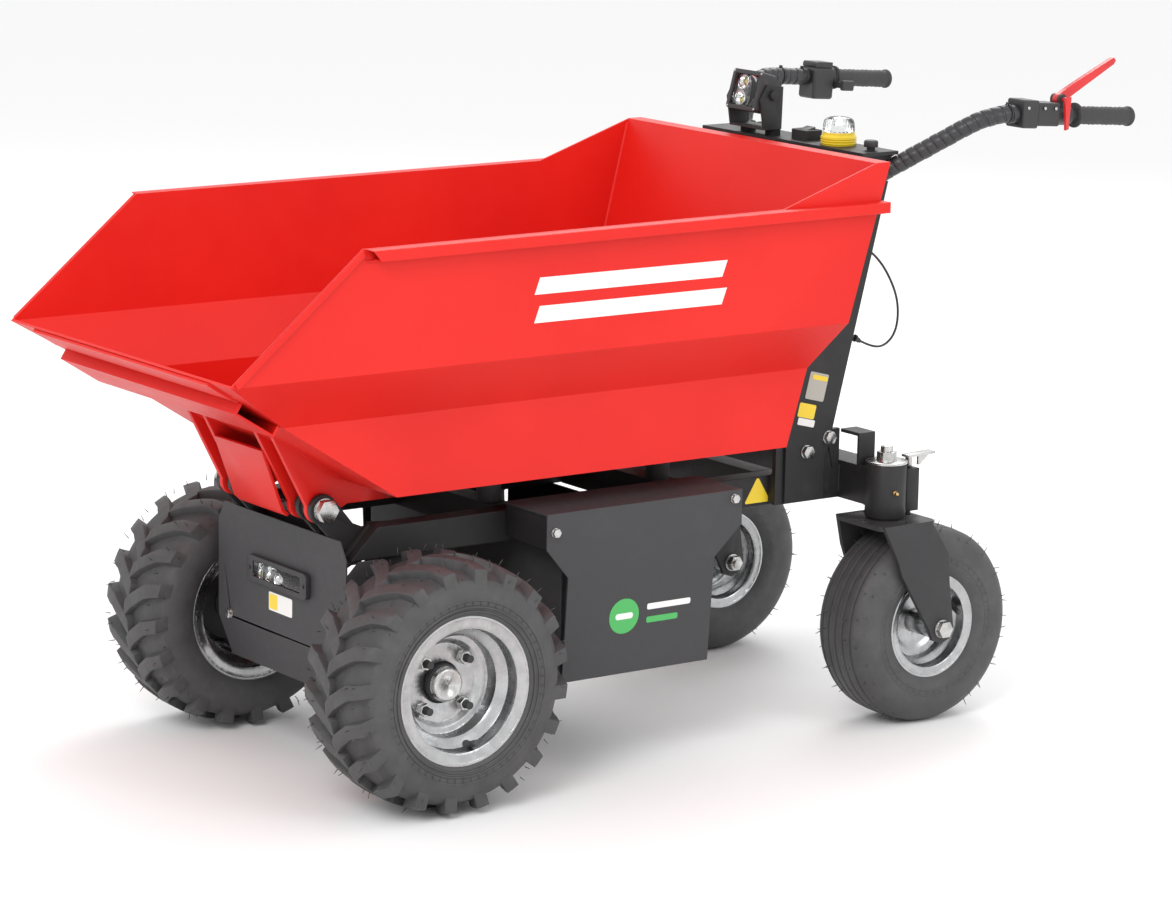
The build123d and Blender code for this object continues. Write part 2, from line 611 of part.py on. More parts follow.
def castor_beam():
    """Cross beam with a swivel barrel at each end."""
    y0, y1 = KINGPIN_Y - BEAM_HALF, KINGPIN_Y + BEAM_HALF
    beam = hollow_bar(-CASTOR_X, CASTOR_X, y0, y1, BEAM_Z0, BEAM_Z1)
    for x in (-CASTOR_X, CASTOR_X):
        beam += rod_z(x, KINGPIN_Y, BARREL_R, BARREL_Z0, BARREL_Z1)
    for x in (-CASTOR_X, CASTOR_X):
        beam -= rod_z(x, KINGPIN_Y, KINGPIN_R + FIT, BARREL_Z0 - 1, BARREL_Z1 + 1)
    return beam


def lock_housing():
    """Square tube welded behind a barrel that guides the swivel lock pin."""
    x0, x1 = CASTOR_X - LOCK_HALF, CASTOR_X + LOCK_HALF
    tube = box(x0, x1, LOCK_Y - LOCK_HALF, LOCK_Y + LOCK_HALF, LOCK_Z0, LOCK_Z1)
    web_x0, web_x1 = CASTOR_X - 6, CASTOR_X + 6
    web = box(web_x0, web_x1, KINGPIN_Y + 20, LOCK_Y - LOCK_HALF, LOCK_Z0 + 10, LOCK_Z1 - 10)
    web -= rod_z(CASTOR_X, KINGPIN_Y, BARREL_R, LOCK_Z0, LOCK_Z1)
    housing = tube + web
    return housing - rod_z(CASTOR_X, LOCK_Y, LOCK_R + FIT, LOCK_Z0 - 1, LOCK_Z1 + 1)


def lock_pin():
    """Lock pin with the flat pull handle on its top, held up clear of the fork's crown."""
    pin = rod_z(CASTOR_X, LOCK_Y, LOCK_R, FORK_TOP + 2, LOCK_Z1 + LOCK_DROP + 8)
    z = LOCK_Z1 + LOCK_DROP + 6
    rear = LOCK_Y + LOCK_HALF
    handle = prism_x(folded([(LOCK_Y - 8, z), (rear + 37, z + 2)], 4), CASTOR_X - 9, CASTOR_X + 9)
    web = prism_x([(rear + 2, z - 14), (rear + 6, z - 14), (rear + 24, z + 1), (rear + 2, z + 1)], 0, 4)
    return pin + handle + Pos(CASTOR_X + 3, 0, 0) * web


def column_side():
    """Outline of a column side plate: upright foot, then leaning back to the console."""
    lean = (COL_REAR_TOP - COL_REAR_LOW) / (COL_TOP - COL_LOW_Z)
    return [
        (COL_FOOT_Y0, RAIL_Z0 + 4),
        (COL_FOOT_Y0, COL_LOW_Z),
        (COL_REAR_TOP - COL_DEPTH, COL_TOP),
        (COL_REAR_TOP, COL_TOP),
        (COL_REAR_LOW, COL_LOW_Z),
        (COL_REAR_LOW - 16 * lean - 4, COL_LOW_Z - 32),
        (COL_FOOT_Y1, COL_LOW_Z - 46),
        (COL_FOOT_Y1, RAIL_Z0 + 4),
    ]


def column_shell():
    """Two side plates joined by a folded rear panel."""
    side = prism_x(column_side(), COL_HALF - COL_T, COL_HALF)
    rear_path = [(COL_REAR_LOW, COL_LOW_Z), (COL_REAR_TOP, COL_TOP)]
    rear = prism_x(folded(rear_path, 3), -COL_HALF + COL_T, COL_HALF - COL_T)
    rear &= box(-COL_HALF, COL_HALF, 0, 600, COL_LOW_Z + 2, COL_TOP)
    shell = side + right(side) + rear
    left_socket = bar_socket()
    for socket, bore, mouth in (left_socket, [right(piece) for piece in left_socket]):
        shell = shell - mouth + socket - bore
    for y, z in FOOT_BOLTS:
        shell -= rod_x(y, z, FOOT_BOLT_R + FIT, -COL_HALF - 1, -COL_HALF + COL_T + 1)
        shell -= rod_x(y, z, FOOT_BOLT_R + FIT, COL_HALF - COL_T - 1, COL_HALF + 1)
    for a, b in (CABLE_POINTS[:2], CABLE_POINTS[:-3:-1]):
        shell -= bar_between(Vector(*a), Vector(*b), CABLE_R + GAP)
    return shell


def bar_between(a, b, r):
    """Cylinder from point a to point b."""
    return extrude(Plane(origin=a, z_dir=b - a) * Circle(r), amount=(b - a).length)


def bar_socket():
    """Socket in the column's corner for the bar's root, its bore and the mouth cut for the wrap."""
    root = Vector(*BAR_ROOT)
    along = (Vector(GRIP_X, BAR_BEND_Y, BAR_BEND_Z) - root).normalized()
    socket = bar_between(root, root + along * SOCKET_LENGTH, BAR_R + 5)
    bore = bar_between(root - along, root + along * 60, BAR_R + FIT)
    mouth = bar_between(root + along * SOCKET_LENGTH, root + along * 90, WRAP_R + 2)
    return socket, bore, mouth


def column_feet():
    """Upright lugs and the cross tube that join the column to the rails and the castor beam."""
    plate_x = COL_HALF - COL_T
    y1 = KINGPIN_Y - BEAM_HALF
    plate = box(plate_x - FOOT_T, plate_x, RAIL_Y1 - 37, y1, RAIL_Z0 + 2, COL_LOW_Z - 2)
    for y, z in FOOT_BOLTS:
        plate -= rod_x(y, z, FOOT_BOLT_R + FIT, plate_x - FOOT_T - 1, plate_x + 1)
    spacer = box(RAIL_OUT, plate_x - FOOT_T, RAIL_Y1 - 37, RAIL_Y1, RAIL_Z0 + 4, RAIL_Z1)
    return both(plate, spacer)


def console_top():
    """Lid over the column with a folded front edge."""
    y0, y1 = COL_REAR_TOP - COL_DEPTH - 4, COL_REAR_TOP - 3
    lid = box(-TOP_HALF, TOP_HALF, y0, y1, COL_TOP, COL_TOP + TOP_T)
    lid += box(-TOP_HALF, TOP_HALF, y0 - 3, y0, COL_TOP - 6, COL_TOP + TOP_T)
    lid -= rod_z(KNOB_X, BEACON_Y, KNOB_STEM_R + FIT, COL_TOP - 1, COL_TOP + TOP_T + 1)
    return lid


def rocker_housing():
    z = COL_TOP + TOP_T
    body = box(ROCKER_X - 21, ROCKER_X + 21, ROCKER_Y - 16, ROCKER_Y + 16, z, z + 16)
    slot = box(ROCKER_X - 12, ROCKER_X + 12, ROCKER_Y - 11, ROCKER_Y + 13, z + 2, z + 17)
    bore = rod_x(ROCKER_Y, z + ROCKER_AXIS, ROCKER_PIN_R + FIT, ROCKER_X - 16, ROCKER_X + 16)
    return body - slot - bore


def rocker_switch():
    """Rocking key on its cross pin."""
    key = prism_x([(-9.2, 4), (0, 6.5), (9.2, 9), (9.2, 0), (3, -5), (-3, -5), (-9.2, 0)], -11.4, 11.4)
    key += rod_x(0, 0, ROCKER_PIN_R, -15, 15)
    return Pos(ROCKER_X, ROCKER_Y, COL_TOP + TOP_T + ROCKER_AXIS) * key


def stop_knob():
    """Push knob beside the beacon."""
    z = COL_TOP + TOP_T
    stem = rod_z(KNOB_X, BEACON_Y, KNOB_STEM_R, z - KNOB_STEM, z + KNOB_TRAVEL + 1)
    cap = rod_z(KNOB_X, BEACON_Y, 12, z + KNOB_TRAVEL + 1, z + KNOB_TRAVEL + 12)
    return stem + fillet(cap.edges().filter_by(GeomType.CIRCLE).sort_by(Axis.Z)[-1:], 4)


def beacon():
    """Yellow base ring and the ribbed clear dome on it."""
    z = COL_TOP + TOP_T
    base = Pos(BEACON_X, BEACON_Y, z) * turned_z(
        [(0, 0), (BEACON_R, 0), (BEACON_R + 1, 14), (BEACON_R - 2, 18), (BEACON_R - 2, 22), (0, 22)]
    )
    dome = Pos(BEACON_X, BEACON_Y, z + 22) * turned_z(
        [(0, 0), (BEACON_R - 2, 0), (BEACON_R - 3, 18), (BEACON_R - 8, 24), (0, 26)]
    )
    ribs = []
    for i in range(24):
        place = Pos(BEACON_X, BEACON_Y, z + 22) * Rot(0, 0, i * 15) * Pos(BEACON_R - 3.4, 0, 9)
        ribs.append(place * Box(3, 2.4, 16))
    for rib in ribs:
        dome += rib
    return base, dome


def stirrup():
    """Bent strap from the column foot over to the castor beam."""
    x0 = COL_HALF - COL_T
    x1 = CASTOR_X - BARREL_R - 3
    top = COL_LOW_Z - 3
    path = [(x0, top), (x1, top), (x1, BEAM_Z1)]
    y0 = KINGPIN_Y - BEAM_HALF + 1
    return prism_y(folded(path, -6), y0, y0 + 34)


def make_chassis():
    add("chassis_rails", *both(rail()))
    add("cross_members", *cross_members())
    add("pivot_plates", *pivot_plates())
    add("pivot_bolts", *pivot_bolts())
    add("front_cover", front_cover())
    housing, screws, lens, leds = front_lamp()
    add("front_lamp", housing, *screws)
    add("front_lamp_lens", lens, *leds)
    case, motor, hangers = transaxle()
    add("transaxle", case, motor, *hangers)
    add_pair("battery_cover", battery_cover())
    add("battery_tray", battery_tray())
    add("batteries", *batteries())
    add("motor_controller", motor_controller())
    add("castor_beam", castor_beam(), *both(lock_housing()))
    add("column_shell", column_shell())
    add("column_feet", *column_feet(), *both(stirrup()))


# ---------------------------------------------------------------- driven wheels
def at_front(shape):
    return Pos(FRONT_X, FRONT_Y, FRONT_R) * shape


def tread_lug():
    """One bar of the tread, from the shoulder forward to just past the middle."""
    bar = [(-6, -34), (14, -16), (50, 6), (FRONT_HALF_W - 6, 14), (FRONT_HALF_W - 6, 36), (44, 28), (8, 6), (-6, -8)]
    return prism_z(bar, FRONT_R - 40, FRONT_R + 20)


def front_tyre():
    """Carcass with chevron tread bars cut to the rounded tread envelope."""
    w = FRONT_HALF_W
    base = FRONT_R - LUG_H
    bead_r, bead_x = FRONT_FLANGE_R - 17, FRONT_RIM_HALF - 8
    half = [
        (0, base), (30, base - 1), (56, base - 4), (w - 10, base - 14), (w - 4, base - 24), (w, base - 42),
        (w - 2, FRONT_FLANGE_R + 12), (FRONT_RIM_HALF, FRONT_FLANGE_R + GAP), (bead_x, FRONT_FLANGE_R + GAP),
        (bead_x, bead_r), (bead_x - 14, bead_r), (bead_x - 14, bead_r + 10), (w - 13, base - 42),
        (w - 18, base - 22), (50, base - 12), (0, base - 10),
    ]
    carcass = turned_x([*half, *[(-x, r) for x, r in reversed(half[1:-1])]])
    envelope_half = [(0, FRONT_R), (34, FRONT_R - 1), (60, FRONT_R - 4), (w - 6, FRONT_R - 10), (w - 2, base - 30)]
    inner_half = [(w - 10, base - 31), (w - 14, base - 18), (56, base - 8), (0, base - 5)]
    ring_half = [*envelope_half, *inner_half]
    envelope = turned_x([*ring_half, *[(-x, r) for x, r in reversed(ring_half[1:-1])]])
    lug = tread_lug() & envelope
    step = 360 / LUG_COUNT
    lugs = [Rot(i * step, 0, 0) * lug for i in range(LUG_COUNT)]
    other = mirror(lug, about=Plane.YZ)
    lugs += [Rot((i + 0.5) * step, 0, 0) * other for i in range(LUG_COUNT)]
    return at_front(Part() + carcass + lugs)


def around(count, radius, shape, phase=45):
    """Copies of a shape set on a circle round the X axis."""
    return [Rot(phase + i * 360 / count, 0, 0) * Pos(0, 0, radius) * shape for i in range(count)]


def front_rim():
    """Drop-centre rim with a deep-set disc."""
    half, r, t = FRONT_RIM_HALF, FRONT_FLANGE_R, RIM_T
    side = [(half, r), (half - 4, r), (half - 7, r - 17), (half - 27, r - 19), (half - 38, r - 34)]
    path = [*side, *[(-x, q) for x, q in reversed(side)]]
    barrel = turned_x(folded(path, t))
    well_r = r - 34 - t
    disc = turned_x([(DISC_X, HUB_R + 3), (DISC_X, 62), (DISC_X + 7, 70), (DISC_X + 9, well_r + 0.5)]
                    + [(DISC_X + 3, well_r + 0.5), (DISC_X + 1, 72), (DISC_X - 6, 64), (DISC_X - 6, HUB_R + 3)])
    rim = barrel + disc
    for hole in around(4, STUD_PCD / 2, Pos(DISC_X, 0, 0) * Rot(0, 90, 0) * Cylinder(STUD_R + 1, 40)):
        rim -= hole
    return at_front(rim)


def front_hub():
    """Hub flange with its studs, the half shaft inboard and the grease cap outboard."""
    back = DISC_X - 6
    hub = turned_x([(-8, 0), (-8, 34), (-4, 34), (-4, 64), (back, 64), (back, HUB_R), (DISC_X + 9, HUB_R)]
                   + [(DISC_X + 9, 27), (DISC_X + 16, 27), (DISC_X + 20, 24), (DISC_X + 20, 0)])
    shaft = rod_x(0, 0, HALF_SHAFT_R, -FRONT_X + 130, -8)
    studs = around(4, STUD_PCD / 2, Pos((back + DISC_X + 26) / 2, 0, 0) * Rot(0, 90, 0)
                   * Cylinder(STUD_R, DISC_X + 26 - back))
    hub = hub + shaft
    for stud in studs:
        hub += stud
    return at_front(hub)


def wheel_nuts():
    nut = Pos(DISC_X, 0, 0) * extrude(Plane.YZ * RegularPolygon(9.5, 6, major_radius=False), amount=15)
    nut -= Pos(DISC_X + 7, 0, 0) * Rot(0, 90, 0) * Cylinder(STUD_R + 0.2, 20)
    return [at_front(piece) for piece in around(4, STUD_PCD / 2, nut)]


def make_front_wheels():
    add_pair("front_tyre", front_tyre())
    add_pair("front_rim", front_rim())
    add_pair("front_hub", front_hub())
    add_pair("wheel_nuts", *wheel_nuts())


# ---------------------------------------------------------------- castors
def at_castor(shape):
    return Pos(CASTOR_X, KINGPIN_Y + CASTOR_TRAIL, CASTOR_R) * shape


def castor_tyre():
    """Ribbed tyre, hollow inside."""
    w, r = CASTOR_HALF_W, CASTOR_R
    groove, bead_x, bead_r = 4.0, CASTOR_RIM_HALF - 7, CASTOR_FLANGE_R - 13
    tread = []
    for i in range(5):
        x = -36 + i * 18
        fall = x * x / 600
        tread += [(x - 2.5, r - fall), (x - 1.5, r - fall - groove), (x + 1.5, r - fall - groove), (x + 2.5, r - fall)]
    left = [(-bead_x + 12, bead_r), (-bead_x, bead_r), (-bead_x, CASTOR_FLANGE_R + GAP)]
    left += [(-CASTOR_RIM_HALF, CASTOR_FLANGE_R + GAP), (-w + 1, CASTOR_FLANGE_R + 16), (-w, r - 36)]
    left += [(-w + 4, r - 20), (-w + 12, r - 9)]
    outer = [*left, *tread, *[(-x, q) for x, q in reversed(left)]]
    inner = [(w - 10, CASTOR_FLANGE_R + 16), (w - 10, r - 34), (w - 22, r - 16), (0, r - 12)]
    inner += [(-x, q) for x, q in reversed(inner[:-1])]
    return at_castor(turned_x([*outer, *inner]))


def castor_rim():
    """Split rim with a dished disc and a bored hub."""
    half, r, t = CASTOR_RIM_HALF, CASTOR_FLANGE_R, 3.5
    side = [(half, r), (half - 3, r), (half - 6, r - 13), (half - 22, r - 15), (half - 30, r - 24)]
    path = [*side, *[(-x, q) for x, q in reversed(side)]]
    barrel = turned_x(folded(path, t))
    well_r = r - 24 - t
    disc = turned_x([(3, 18), (3, 40), (9, 52), (9, well_r + 0.5), (5, well_r + 0.5), (5, 53), (-1, 41), (-1, 18)])
    hub = rod_x(0, 0, 20, -AXLE_SPACE, AXLE_SPACE)
    return at_castor(barrel + disc + hub - rod_x(0, 0, AXLE_R + FIT, -100, 100))


def castor_fork():
    """Crown plate with four lock holes, and two legs with rounded ends, splayed out below it."""
    ay, az = KINGPIN_Y + CASTOR_TRAIL, CASTOR_R
    y0, y1 = KINGPIN_Y - 57, KINGPIN_Y + 62
    crown_half = FORK_IN - 4
    crown = box(-crown_half, crown_half, y0, y1, FORK_TOP - FORK_T, FORK_TOP)
    crown = fillet(crown.edges().filter_by(Axis.Z), 18)
    outline = [(y0 + 4, FORK_TOP), (y1 - 14, FORK_TOP), (482, 294), (487, 241)]
    outline += [(ay + 26, az), (ay + 18, az - 19), (ay, az - 26), (ay - 18, az - 19), (ay - 26, az), (384, 266)]
    profile = prism_x(outline, -200, 200)
    knee_z = 294
    leg_path = [(crown_half - FORK_T, FORK_TOP), (FORK_IN, knee_z), (FORK_IN, az - 40)]
    leg = prism_y(folded(leg_path, FORK_T), 300, 560) & profile
    below_top = box(-200, 200, 300, 560, 100, FORK_TOP)
    leg &= below_top
    fork = crown + leg + right(leg)
    for sx in (-1, 1):
        inner = min(sx * AXLE_SPACE + sx * 0.5, sx * (FORK_IN + 1))
        outer = max(sx * AXLE_SPACE + sx * 0.5, sx * (FORK_IN + 1))
        fork += rod_x(ay, az, 15, inner, outer)
    fork -= rod_x(ay, az, AXLE_R + FIT, -100, 100)
    reach = LOCK_Y - KINGPIN_Y
    for dx, dy in ((0, reach), (reach, 0), (0, -reach), (-reach, 0)):
        fork -= rod_z(dx, KINGPIN_Y + dy, LOCK_R + 0.6, FORK_TOP - FORK_T - 1, FORK_TOP + 1)
    fork -= rod_z(0, KINGPIN_Y, KINGPIN_R + FIT, FORK_TOP - FORK_T - 1, FORK_TOP + 1)
    seat = rod_z(0, KINGPIN_Y, 26, FORK_TOP, BARREL_Z0 - GAP)
    fork += seat - rod_z(0, KINGPIN_Y, KINGPIN_R + FIT, FORK_TOP - 1, BARREL_Z0 + 1)
    return Pos(CASTOR_X, 0, 0) * fork


def castor_pins():
    """Kingpin with its dust cap and nut, and the axle bolt with its nut."""
    x, y = CASTOR_X, KINGPIN_Y
    kingpin = rod_z(x, y, KINGPIN_R, FORK_TOP - FORK_T - 8, BARREL_Z1 + 26)
    kingpin += hex_z(x, y, 30, FORK_TOP - FORK_T - 8, FORK_TOP - FORK_T)
    kingpin += rod_z(x, y, BARREL_R + 1, BARREL_Z1 + GAP, BARREL_Z1 + 4)
    kingpin += rod_z(x, y, 17, BARREL_Z1 + 4, BARREL_Z1 + 7) + hex_z(x, y, 29, BARREL_Z1 + 7, BARREL_Z1 + 19)
    face = FORK_IN + FORK_T
    ay, az = KINGPIN_Y + CASTOR_TRAIL, CASTOR_R
    axle = bolt_x(ay, az, AXLE_R, face, 2 * face)
    axle += rod_x(ay, az, AXLE_R * 1.9, -face - 2.4, -face) + hex_x(ay, az, 24, -face - 14, -face - 2.4)
    axle += rod_x(ay, az, AXLE_R, -face - 18, -face)
    return kingpin, Pos(CASTOR_X, 0, 0) * axle


def make_castors():
    add_pair("castor_tyre", castor_tyre())
    add_pair("castor_rim", castor_rim())
    add_pair("castor_fork", castor_fork())
    add_pair("castor_pins", *castor_pins())
    add_pair("lock_pin", lock_pin())


# ---------------------------------------------------------------- handlebars and controls
def bar_z(y):
    """Height of the straight bar's centre line behind the bend."""
    return BAR_BEND_Z - (y - BAR_BEND_Y) * BAR_FALL


def bar_path(start=None, stop=GRIP_END - 6):
    points = [BAR_ROOT, (GRIP_X, BAR_BEND_Y, BAR_BEND_Z), (GRIP_X, stop, bar_z(stop))]
    return FilletPolyline(*points, radius=BAR_BEND_R)


def swept_tube(path, outer, inner):
    start = Plane(origin=path @ 0, z_dir=path % 0)
    return sweep(start * Circle(outer), path=path) - sweep(start * Circle(inner), path=path)


def on_bar(y):
    """Plane square to the left bar at y: X inboard, Y up, normal rearward."""
    return Plane(origin=(GRIP_X, y, bar_z(y)), x_dir=(-1, 0, 0), z_dir=(0, 1, -BAR_FALL))


def sleeve(y0, y1, outer, inner):
    """Hollow cylinder round the straight bar from y0 to y1."""
    return bar_rod(y0, y1, outer) - bar_rod(y0, y1, inner)


def bar_rod(y0, y1, r):
    """Cylinder along the straight bar from y0 to y1."""
    return extrude(on_bar(y0) * Circle(r), amount=(y1 - y0) * sqrt(1 + BAR_FALL * BAR_FALL))


def handlebar():
    return swept_tube(bar_path(), BAR_R, BAR_R - 2.5)


def wrap(end):
    """Spiral-wrapped loom over the bar, from the column to y = end."""
    root = Vector(*BAR_ROOT)
    bend = Vector(GRIP_X, BAR_BEND_Y, BAR_BEND_Z)
    start = root + (bend - root).normalized() * (SOCKET_LENGTH + 1)
    path = FilletPolyline(start, bend, (GRIP_X, end, bar_z(end)), radius=BAR_BEND_R)
    return swept_tube(path, WRAP_R, BAR_R)


def grip():
    """Moulded grip with a collar at its root and a rolled end."""
    body = sleeve(GRIP_START + 6, GRIP_END - 6, GRIP_R, BAR_R)
    collar = sleeve(GRIP_START, GRIP_START + 6, GRIP_FLANGE_R, BAR_R)
    plane = on_bar(GRIP_END - 6)
    end = extrude(plane * Circle(GRIP_R + 1.5), amount=5.5)
    return body + collar + end


def pod_block(y0, y1, x0, x1, low, high):
    """Block on the bar, sized across and above or below its centre line."""
    middle = (y0 + y1) / 2
    plane = on_bar(middle)
    length = y1 - y0
    block = plane * Pos((x0 + x1) / 2, (low + high) / 2, 0) * Box(x1 - x0, high - low, length)
    return block


def switch_pod_left():
    """Split switch box clamped on the left bar, and the clamp with the ears of the lever's pivot."""
    start = WRAP_END_LEFT + 2
    front = fillet(pod_block(start, start + 33, -22, 24, -22, 25).edges(), 4)
    rear = fillet(pod_block(start + 33, LEVER_Y - 12, -19, 20, -18, 21).edges(), 3)
    pod = front + rear + bar_rod(LEVER_Y - 14, LEVER_Y + 20, 17)
    for x0 in (-11, 6):
        pod += Pos(GRIP_X, 0, 0) * box(x0, x0 + 5, LEVER_Y - 9, LEVER_Y + 9, bar_z(LEVER_Y) + 8, LEVER_Z)
        pod += Pos(GRIP_X, 0, 0) * rod_x(LEVER_Y, LEVER_Z, 9, x0, x0 + 5)
    pod -= Pos(GRIP_X, 0, 0) * rod_x(LEVER_Y, LEVER_Z, LEVER_PIN_R + FIT, -20, 20)
    pod -= bar_rod(start - 5, GRIP_START, BAR_R)
    return pod - on_bar(BUTTON_Y) * Pos(20, 4, 0) * Rot(0, 90, 0) * Cylinder(BUTTON_R + 2 * FIT, 14)


def release_lever():
    """Long tapered lever with its pivot eye and pin, and the tail that hangs outboard of the bar."""
    eye = rod_x(LEVER_Y, LEVER_Z, 9, -5.5, 5.5)
    blade = [
        (LEVER_Y + 2, LEVER_Z - 8),
        (LEVER_Y + 26, LEVER_Z + 5),
        (842, 1087),
        (846, 1093),
        (842, 1098),
        (836, 1096),
        (LEVER_Y + 22, LEVER_Z + 21),
        (LEVER_Y - 4, LEVER_Z + 8),
    ]
    lever = eye + prism_x(blade, -4.5, 4.5) + rod_x(LEVER_Y, LEVER_Z, LEVER_PIN_R, -12, TAIL_X[1])
    tail = [(LEVER_Y - 7, LEVER_Z + 5), (LEVER_Y + 7, LEVER_Z + 5), (LEVER_Y + 3, 986), (LEVER_Y - 3, 984)]
    return Pos(GRIP_X, 0, 0) * (lever + prism_x(tail, *TAIL_X))


def horn_button():
    return on_bar(BUTTON_Y) * Pos(22, 4, 0) * Rot(0, 90, 0) * Cylinder(BUTTON_R, 12)


def switch_pod_right():
    """Throttle pod on the right bar: rounded body under a silver cap, and a clamp ring."""
    start = WRAP_END_RIGHT + 2
    body = fillet(pod_block(start, start + 46, -22, 24, -38, 18).edges(), 6)
    cap = fillet(pod_block(start + 4, start + 42, -18, 20, 18.3, 28).edges().group_by(Axis.Z)[-1], 5)
    ring = sleeve(start + 56, GRIP_START - 0.5, 18, BAR_R)
    return [body - bar_rod(start - 5, GRIP_START, BAR_R), cap, ring]


def throttle_lever():
    """Thumb lever on its own ring round the bar."""
    y0, y1 = WRAP_END_RIGHT + 49, WRAP_END_RIGHT + 57
    paddle = pod_block(y0, y1, 14, 44, -16, -6)
    tip = fillet(pod_block(y0, y1 + 18, 38, 48, -20, -2).edges(), 3)
    lever = bar_rod(y0, y1, 18) + paddle + tip
    return lever - bar_rod(y0 - 5, y1 + 5, BAR_R + FIT)


def tilted(shape):
    """The lamp's pieces leaned back about its trunnions."""
    axis = Pos(LIGHT_X, LIGHT_Y, LIGHT_Z)
    return axis * Rot(-LIGHT_TILT, 0, 0) * shape


def work_light():
    """Cube lamp with a finned back, and its lens and reflectors in front; built about its trunnions."""
    w, h, d = LIGHT_W / 2, LIGHT_H / 2, LIGHT_D / 2
    shell = box(-w, w, -d, 30 - d, -h, h)
    shell = fillet(shell.edges().filter_by(Axis.Y), 6)
    shell -= box(7 - w, w - 7, -d - 1, 22 - d, 7 - h, h - 7)
    shell += box(16 - w, w - 16, 30 - d, d - 4, 12 - h, h - 12)
    for i in range(LIGHT_FINS):
        x = 10 - w + i * (LIGHT_W - 20) / (LIGHT_FINS - 1)
        shell += box(x - 1.5, x + 1.5, 30 - d, d, 6 - h, h - 6)
    for x0, x1 in ((w - 2, w + LIGHT_BOSS), (-w - LIGHT_BOSS, 2 - w)):
        shell += rod_x(0, 0, 9, x0, x1)
    for x0, x1 in ((w - 6, w + 5), (-w - 5, 6 - w)):
        shell -= rod_x(0, 0, LIGHT_BOLT_R + FIT, x0, x1)
    lens = box(7 - w, w - 7, 3 - d, 6 - d, 7 - h, h - 7)
    cups = []
    for x in (-LIGHT_LED_X, LIGHT_LED_X):
        for z in (-LIGHT_LED_Z, LIGHT_LED_Z):
            cups.append(Pos(x, 14 - d, z) * Rot(90, 0, 0) * Cone(5, 11, 16))
    return tilted(shell), [tilted(piece) for piece in (lens, *cups)]


def light_bracket():
    """U bracket with side ears and clamp bolts, on two feet from the console."""
    w = LIGHT_W / 2 + LIGHT_BOSS + GAP
    t = 4.0
    z_base = LIGHT_Z - LIGHT_H / 2 - 20
    outline = [(LIGHT_Y - 18, z_base - t), (LIGHT_Y - 26, LIGHT_Z - 8), (LIGHT_Y - 12, LIGHT_Z + 18)]
    outline += [(LIGHT_Y + 22, LIGHT_Z + 14), (LIGHT_Y + 20, z_base - t)]
    bracket = box(LIGHT_X - w, LIGHT_X + w, LIGHT_Y - 18, LIGHT_Y + 20, z_base - t, z_base)
    bracket += prism_x(outline, LIGHT_X + w, LIGHT_X + w + t)
    bracket += prism_x(outline, LIGHT_X - w - t, LIGHT_X - w)
    for x in (LIGHT_X - 34, LIGHT_X + 34):
        bracket += box(x - 11, x + 11, LIGHT_Y + 4, LIGHT_Y + 20, COL_TOP + TOP_T, z_base - t)
    bracket -= rod_x(LIGHT_Y, LIGHT_Z, LIGHT_BOLT_R + FIT, LIGHT_X - w - t - 1, LIGHT_X + w + t + 1)
    bolt = rod_x(0, 0, LIGHT_BOLT_R, LIGHT_W / 2 - 5, w + t) + rod_x(0, 0, 8, w + t, w + t + 6)
    place = Pos(LIGHT_X, LIGHT_Y, LIGHT_Z)
    return [bracket, place * bolt, place * mirror(bolt, about=Plane.YZ)]


def latch_hook():
    """Hook plate on its cross pin; it stands open at rest and closes over the striker."""
    closed = [
        (-8, -10), (10, -10), (10, 12), (-20, 20), (-54, 16), (-60, 8), (-60, -8), (-56, -12),
        (-53, -8), (-53, 2.5), (-38, 2.5), (-30, -4), (-20, -8),
    ]
    plate = prism_x(closed, -6, 6) + rod_x(0, 0, 12, -6, 6) + rod_x(0, 0, HOOK_PIN_R, -30, 30)
    return Pos(0, LATCH_PIN_Y, LATCH_PIN_Z) * Rot(-HOOK_OPEN, 0, 0) * plate


def latch_bracket():
    """Two cheeks on the column's cross bar that hold the latch pin."""
    y, z = LATCH_PIN_Y, LATCH_PIN_Z
    bar_y = y + 26
    bar = box(-COL_HALF + COL_T, COL_HALF - COL_T, bar_y, bar_y + 20, z - 16, z + 16)
    cheeks = []
    for x0 in (-22, 14):
        cheek = box(x0, x0 + 8, y - 12, bar_y, z - 14, z + 14)
        cheek -= rod_x(y, z, HOOK_PIN_R + FIT, x0 - 1, x0 + 9)
        cheeks.append(cheek)
    return bar + cheeks[0] + cheeks[1]


def cord_radii(points):
    """Bend radii for a cord's corners, as large as the runs allow."""
    radii = []
    vectors = [Vector(*p) for p in points]
    for a, b, c in zip(vectors, vectors[1:], vectors[2:]):
        turn = radians((b - a).get_angle(c - b))
        run = min((b - a).length, (c - b).length)
        radii.append(0.45 * run / tan(turn / 2))
    return radii


def cord_path(points):
    """Straight runs joined by tangent arcs."""
    radii = cord_radii(points)
    vectors = [Vector(*p) for p in points]
    edges = []
    start = vectors[0]
    for a, b, c, radius in zip(vectors, vectors[1:], vectors[2:], radii):
        before, after = (b - a).normalized(), (c - b).normalized()
        turn = radians(before.get_angle(after))
        reach = radius * tan(turn / 2)
        enter, leave = b - before * reach, b + after * reach
        edges += [Line(start, enter), TangentArc(enter, leave, tangent=before)]
        start = leave
    edges.append(Line(start, vectors[-1]))
    return Wire([edge.edge() for edge in edges])


def release_cable():
    """The slack loop of the release cable behind the column."""
    path = cord_path(CABLE_POINTS)
    tube = sweep(Plane(origin=path @ 0, z_dir=path % 0) * Circle(CABLE_R), path=path)
    solid_share = tube.volume / (path.length * pi * CABLE_R ** 2)
    print("cable radii", [round(r, 1) for r in cord_radii(CABLE_POINTS)])
    print("cable length", round(path.length, 1), "volume ratio", round(solid_share, 4))
    return tube


